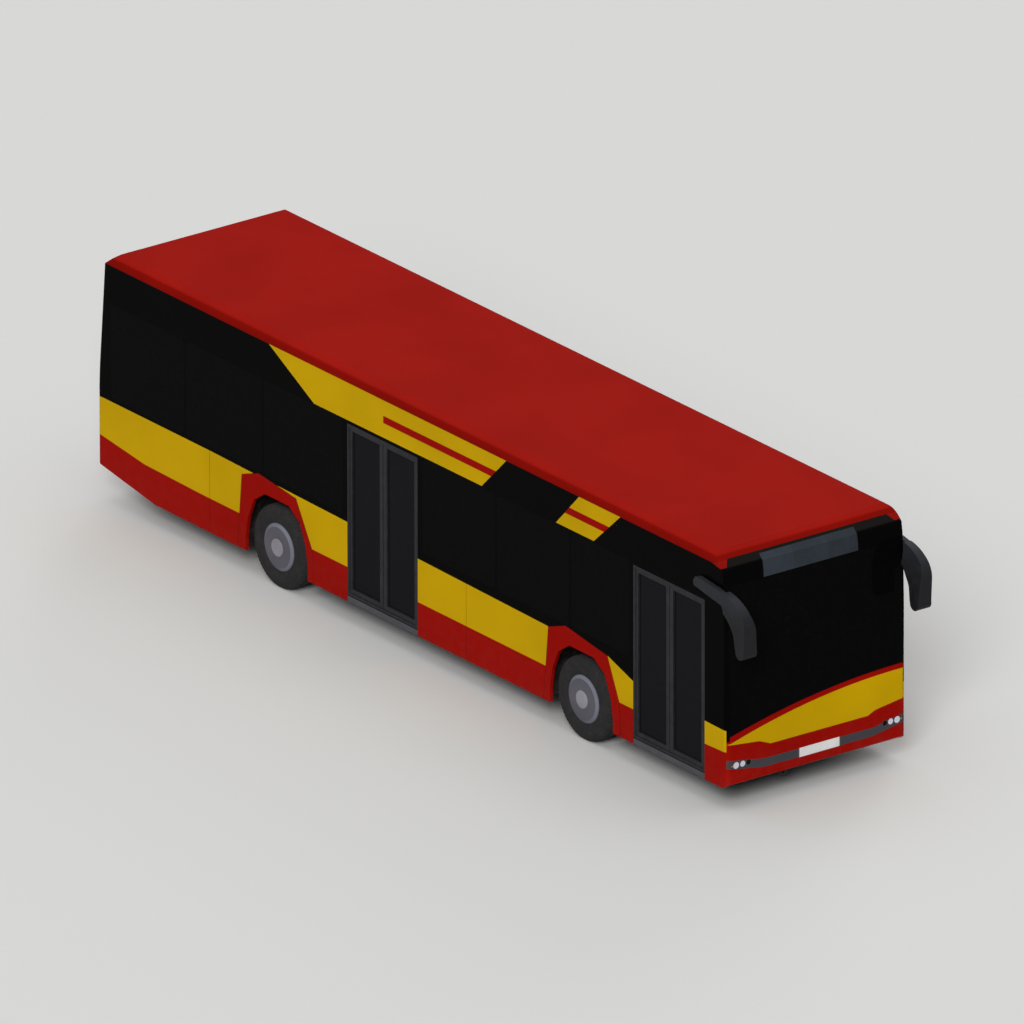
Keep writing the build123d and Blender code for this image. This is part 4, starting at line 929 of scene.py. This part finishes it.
def tail_lens(tree):
    """Red, with an amber and a clear band, thin black joints and small prisms."""
    _, y, z = axes(tree)
    colour, joints = stop_red, []
    for height, tone in zip(tail_bands, (clear, amber, stop_red)):
        colour = mixed(tree, above(tree, z, height), colour, tone)
        off = calc(tree, "ABSOLUTE", calc(tree, "SUBTRACT", z, height))
        joints.append(spread(tree, off, *joint_width))
    prisms = [calc(tree, "SINE", calc(tree, "MULTIPLY", axis, 620.0)) for axis in (y, z)]
    prism = spread(tree, calc(tree, "MULTIPLY", *prisms), -0.6, 0.6, 0.0, 0.3)
    colour = mixed(tree, prism, colour, paint(60, 10, 8))
    return mixed(tree, highest(tree, *joints), colour, paint(12, 12, 12))


tail_plastic = coated(
    "tail_lens", tail_lens, roughness=0.2, grain=90.0, depth=0.00008, dust=0.04,
    Specular_IOR_Level=0.08,
)
coat_nodes(tail_plastic, "tail_lights")

# --- licence plates ----------------------------------------------------------------------------
# Blank white pressed aluminium plates on the front strip and the rear wall. They turn grey
# towards their ends, at one distance from the front plate's middle.
plate_middle, grey_start = 0.038, 0.2805


def blank_plate(tree):
    """White, and grey from a line near its ends."""
    across = calc(tree, "ABSOLUTE", calc(tree, "SUBTRACT", axes(tree)[1], plate_middle))
    ends = spread(tree, across, grey_start, grey_start + 0.001)
    return mixed(tree, ends, paint(214, 213, 212), paint(150, 150, 150))


plate_white = coated("plate_white", blank_plate, roughness=0.35, grain=300.0, dust=0.08)
coat_nodes(plate_white, "licence_plates")

# --- rear wall and engine lid ------------------------------------------------------------------
# Glass-fibre rear wall and lid in the livery: black over a yellow band over red. The lid has
# pressed black louvres for the engine's cooling air, and a handle at its foot.
rear_yellow_low, rear_yellow_high = 0.832, 1.295
rear_face, rear_lean = -6.2, 0.0554
louvre_places, louvre_half = np.arange(0.862, 1.262, 0.034), 0.62
louvre_section = [
    (0.002, 0.026), (-0.0015, 0.026), (-0.0075, 0.006), (-0.0075, 0.002), (-0.004, 0.0),
    (0.002, 0.0),
]
handle_section, handle_half = ((-6.2095, 0.790), (-6.199, 0.812)), 0.09


def rear_scheme(tree):
    """Black above, a yellow band, red below."""
    z = axes(tree)[2]
    colour = mixed(tree, above(tree, z, rear_yellow_low), red_side, yellow)
    return mixed(tree, above(tree, z, rear_yellow_high), colour, black)


coat_nodes(painted("rear_paint", rear_scheme), "rear_wall", "engine_lid")
louvre_black = coated("louvre_black", paint(20, 20, 21), roughness=0.5, grain=700.0)
louvres = []
for height in louvre_places:
    face = rear_face + rear_lean * (height - rear_yellow_low)
    section = np.array(louvre_section) + (face, height)
    louvres.append(bar(section, -louvre_half, louvre_half, 1))
louvre_set = close_up(build("engine_louvres", louvres, louvre_black, 25))
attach(louvre_set, "engine_lid")
grip = [bar(rounded(*handle_section, 0.004), -handle_half, handle_half, 1)]
grip_piece = close_up(build("engine_lid_handle", grip, louvre_black, 40))
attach(grip_piece, "engine_lid")

# --- running gear and engine -------------------------------------------------------------------
# Painted steel frame and wheelhouses, cast axles and knuckles, rubber bellows and a plain cast
# engine block, all dulled by road dirt.
fold_pitch = 0.030
chassis_black = coated(
    "chassis_black", paint(30, 30, 31), roughness=0.62, grain=160.0, depth=0.0004, dust=0.45
)


def casting(tree):
    """Dark iron with rust in patches."""
    rust = spread(tree, noise(tree, 16.0, 6.0, 0.62), 0.5, 0.72)
    return mixed(tree, rust, paint(52, 51, 52), paint(92, 60, 42))


cast_iron = coated("cast_iron", casting, roughness=0.7, grain=220.0, depth=0.0006, dust=0.35)


def bellows(tree):
    """Black rubber in bands of painted light and shade for its folds: darker in the creases,
    lighter on the crests.
    """
    # Painted light and shade: the folds are bands that are lighter on the crests and darker in
    # the creases.
    fold_shading = calc(tree, "MULTIPLY", axes(tree)[2], 2 * math.pi / fold_pitch)
    fold_shading = calc(tree, "SINE", fold_shading)
    return mixed(tree, spread(tree, fold_shading, -0.2, 0.9), paint(16, 16, 17), paint(38, 37, 38))


bellows_rubber = coated("bellows_rubber", bellows, roughness=0.78, grain=260.0, dust=0.3)
coat_nodes(chassis_black, "underframe", "wheelhouses")
coat_nodes(cast_iron, "front_axle", "rear_axle", "left_knuckle", "right_knuckle", "engine")
coat_nodes(bellows_rubber, "air_springs")

# --- floor, linings and seats ------------------------------------------------------------------
# Grey vinyl floor with mineral flecks on plywood, carried up over the rear steps, moulded plastic
# in front of and behind the driver and in the seats, and powder-coated steel rails.


def flecked(tree):
    """Grey vinyl with pale and dark flecks."""
    cells = node(tree, "TexVoronoi", {"Vector": place(tree), "Scale": 260.0}).outputs["Distance"]
    flecks = spread(tree, cells, 0.30, 0.18)
    pick = noise(tree, 130.0, 1.0)
    fleck = mixed(tree, above(tree, pick, 0.5), paint(36, 36, 40), paint(128, 128, 134))
    return mixed(tree, flecks, paint(74, 75, 80), fleck)


vinyl = coated("floor_vinyl", flecked, roughness=0.55, grain=420.0, depth=0.0003, dust=0.15)
coat_nodes(vinyl, "floor", "rear_deck")
dark_moulding = coated(
    "dark_moulding", paint(38, 38, 41), roughness=0.55, grain=1300.0, depth=0.00015
)
coat_nodes(dark_moulding, "dashboard", "driver_partition", "steering_wheel")
rail_yellow = coated(
    "rail_yellow", paint(206, 168, 14), roughness=0.35, grain=300.0, dust=0.03,
    Specular_IOR_Level=0.3,
)
coat_nodes(rail_yellow, "handrails")
seat_moulding = coated(
    "seat_moulding", paint(52, 53, 58), roughness=0.48, grain=1400.0, depth=0.00015
)
coat_nodes(seat_moulding, "passenger_seats", "driver_seat")

# --- cushions ----------------------------------------------------------------------------------
# Foam pads under blue wool plush on each seat and back: crowned, drawn in between their corners,
# with two sewn channels across, and flat where they lie on the moulding.
pad_thickness, pad_depth, pad_height = 0.045, 0.3344, 0.582
seat_shell, seat_lift = 0.0223, 0.4223
row_places = [(1.900, 0.355), (1.150, 0.355), (0.400, 0.355), (-4.150, 0.515), (-5.160, 1.145)]
pair_places, bench_x, bench_level, bench_pitch = (0.990, 0.540), -5.6547, 1.145, 0.450
pad_half_width, pad_start, channel_half = 0.197, 0.0676, 0.006
driver_place = (4.470, 0.740, 0.435, 0.227)  # x, y, floor level and half width


def cushion(middle, long_half, wide_half, thick_half, axis):
    """A pad from two angles: rounded in plan and edge, drawn in at mid side, with two channels.

    axis is the way its crowned face looks, 0 forwards or 2 upwards; its back is kept flat."""
    rows = np.radians(np.linspace(-90, 90, 17))[:, None]
    columns = np.radians(np.linspace(0, 360, 40, endpoint=False))[None, :]

    def power(value, share):
        return np.sign(value) * np.abs(value) ** share

    round_edge, rise_share = power(np.cos(rows), 0.42), power(np.sin(rows), 0.75)
    draw = 1 - 0.022 * np.cos(2 * columns) ** 2
    across = wide_half * round_edge * power(np.cos(columns), 0.38) * draw
    along = long_half * round_edge * power(np.sin(columns), 0.38) * draw
    flat = 0.8 * rise_share / np.maximum(np.abs(rise_share), 0.8)
    height = np.where(rise_share > 0, rise_share, flat)
    channels = 0.0
    for place in (-0.34, 0.34):
        channels = channels + np.exp(-(((along - place * long_half) / channel_half) ** 2))
    up = thick_half * (height - np.where(rise_share > 0.3, 0.22, 0.0) * channels)
    up = np.broadcast_to(up, across.shape)
    order = (up, across, along) if axis == 0 else (along, across, up)
    return panel(np.stack(order, -1) + np.array(middle), wrap_columns=True)


def seat_cushions(x, y, level, half):
    """The seat and back pads of one place."""
    base = level + seat_lift
    thick = pad_thickness / 2
    sitting = (x + pad_start + pad_depth / 2, y, base + thick)
    leaning = (x + seat_shell + thick, y, base + pad_height / 2)
    return [
        cushion(sitting, pad_depth / 2, half, thick, 2),
        cushion(leaning, pad_height / 2, half, thick, 0),
    ]


plush, tree, shader = finish(
    "seat_plush", Specular_IOR_Level=0.15, Sheen_Weight=0.35, Sheen_Roughness=0.4
)
x, y, z = axes(tree)
threads = (calc(tree, "ADD", x, z), y)
ways = [calc(tree, "SINE", calc(tree, "MULTIPLY", axis, 2600.0)) for axis in threads]
weft = spread(tree, calc(tree, "MULTIPLY", *ways), -0.7, 0.7)
patch = node(tree, "TexVoronoi", {"Vector": place(tree), "Scale": 38.0}).outputs["Distance"]
ground = mixed(tree, spread(tree, patch, 0.42, 0.36), paint(30, 38, 78), paint(112, 34, 34))
dark_thread = spread(tree, weft, 0.0, 1.0, 0.0, 0.35)
give(tree, shader, Base_Color=mixed(tree, dark_thread, ground, paint(12, 14, 30)))
give(tree, shader, Roughness=spread(tree, weft, 0.0, 1.0, 0.8, 0.95))
give(tree, shader, Normal=bump(tree, weft, 0.0004, bump(tree, noise(tree, 25.0, 3.0), 0.0008)))

across = [side * y for side in (1, -1) for y in pair_places]
places = [(x, y, level, pad_half_width) for x, level in row_places for y in across]
bench = [(seat - 2) * bench_pitch for seat in range(5)]
places += [(bench_x, y, bench_level, pad_half_width) for y in bench]
passenger_pads = [pad for spot in places for pad in seat_cushions(*spot)]
driver_pads = seat_cushions(*driver_place)
for name, pads in (("passenger_cushions", passenger_pads), ("driver_cushions", driver_pads)):
    made = close_up(build(name, pads, plush, 60))
    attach(made, "bus_body")
    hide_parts("seat_pads")
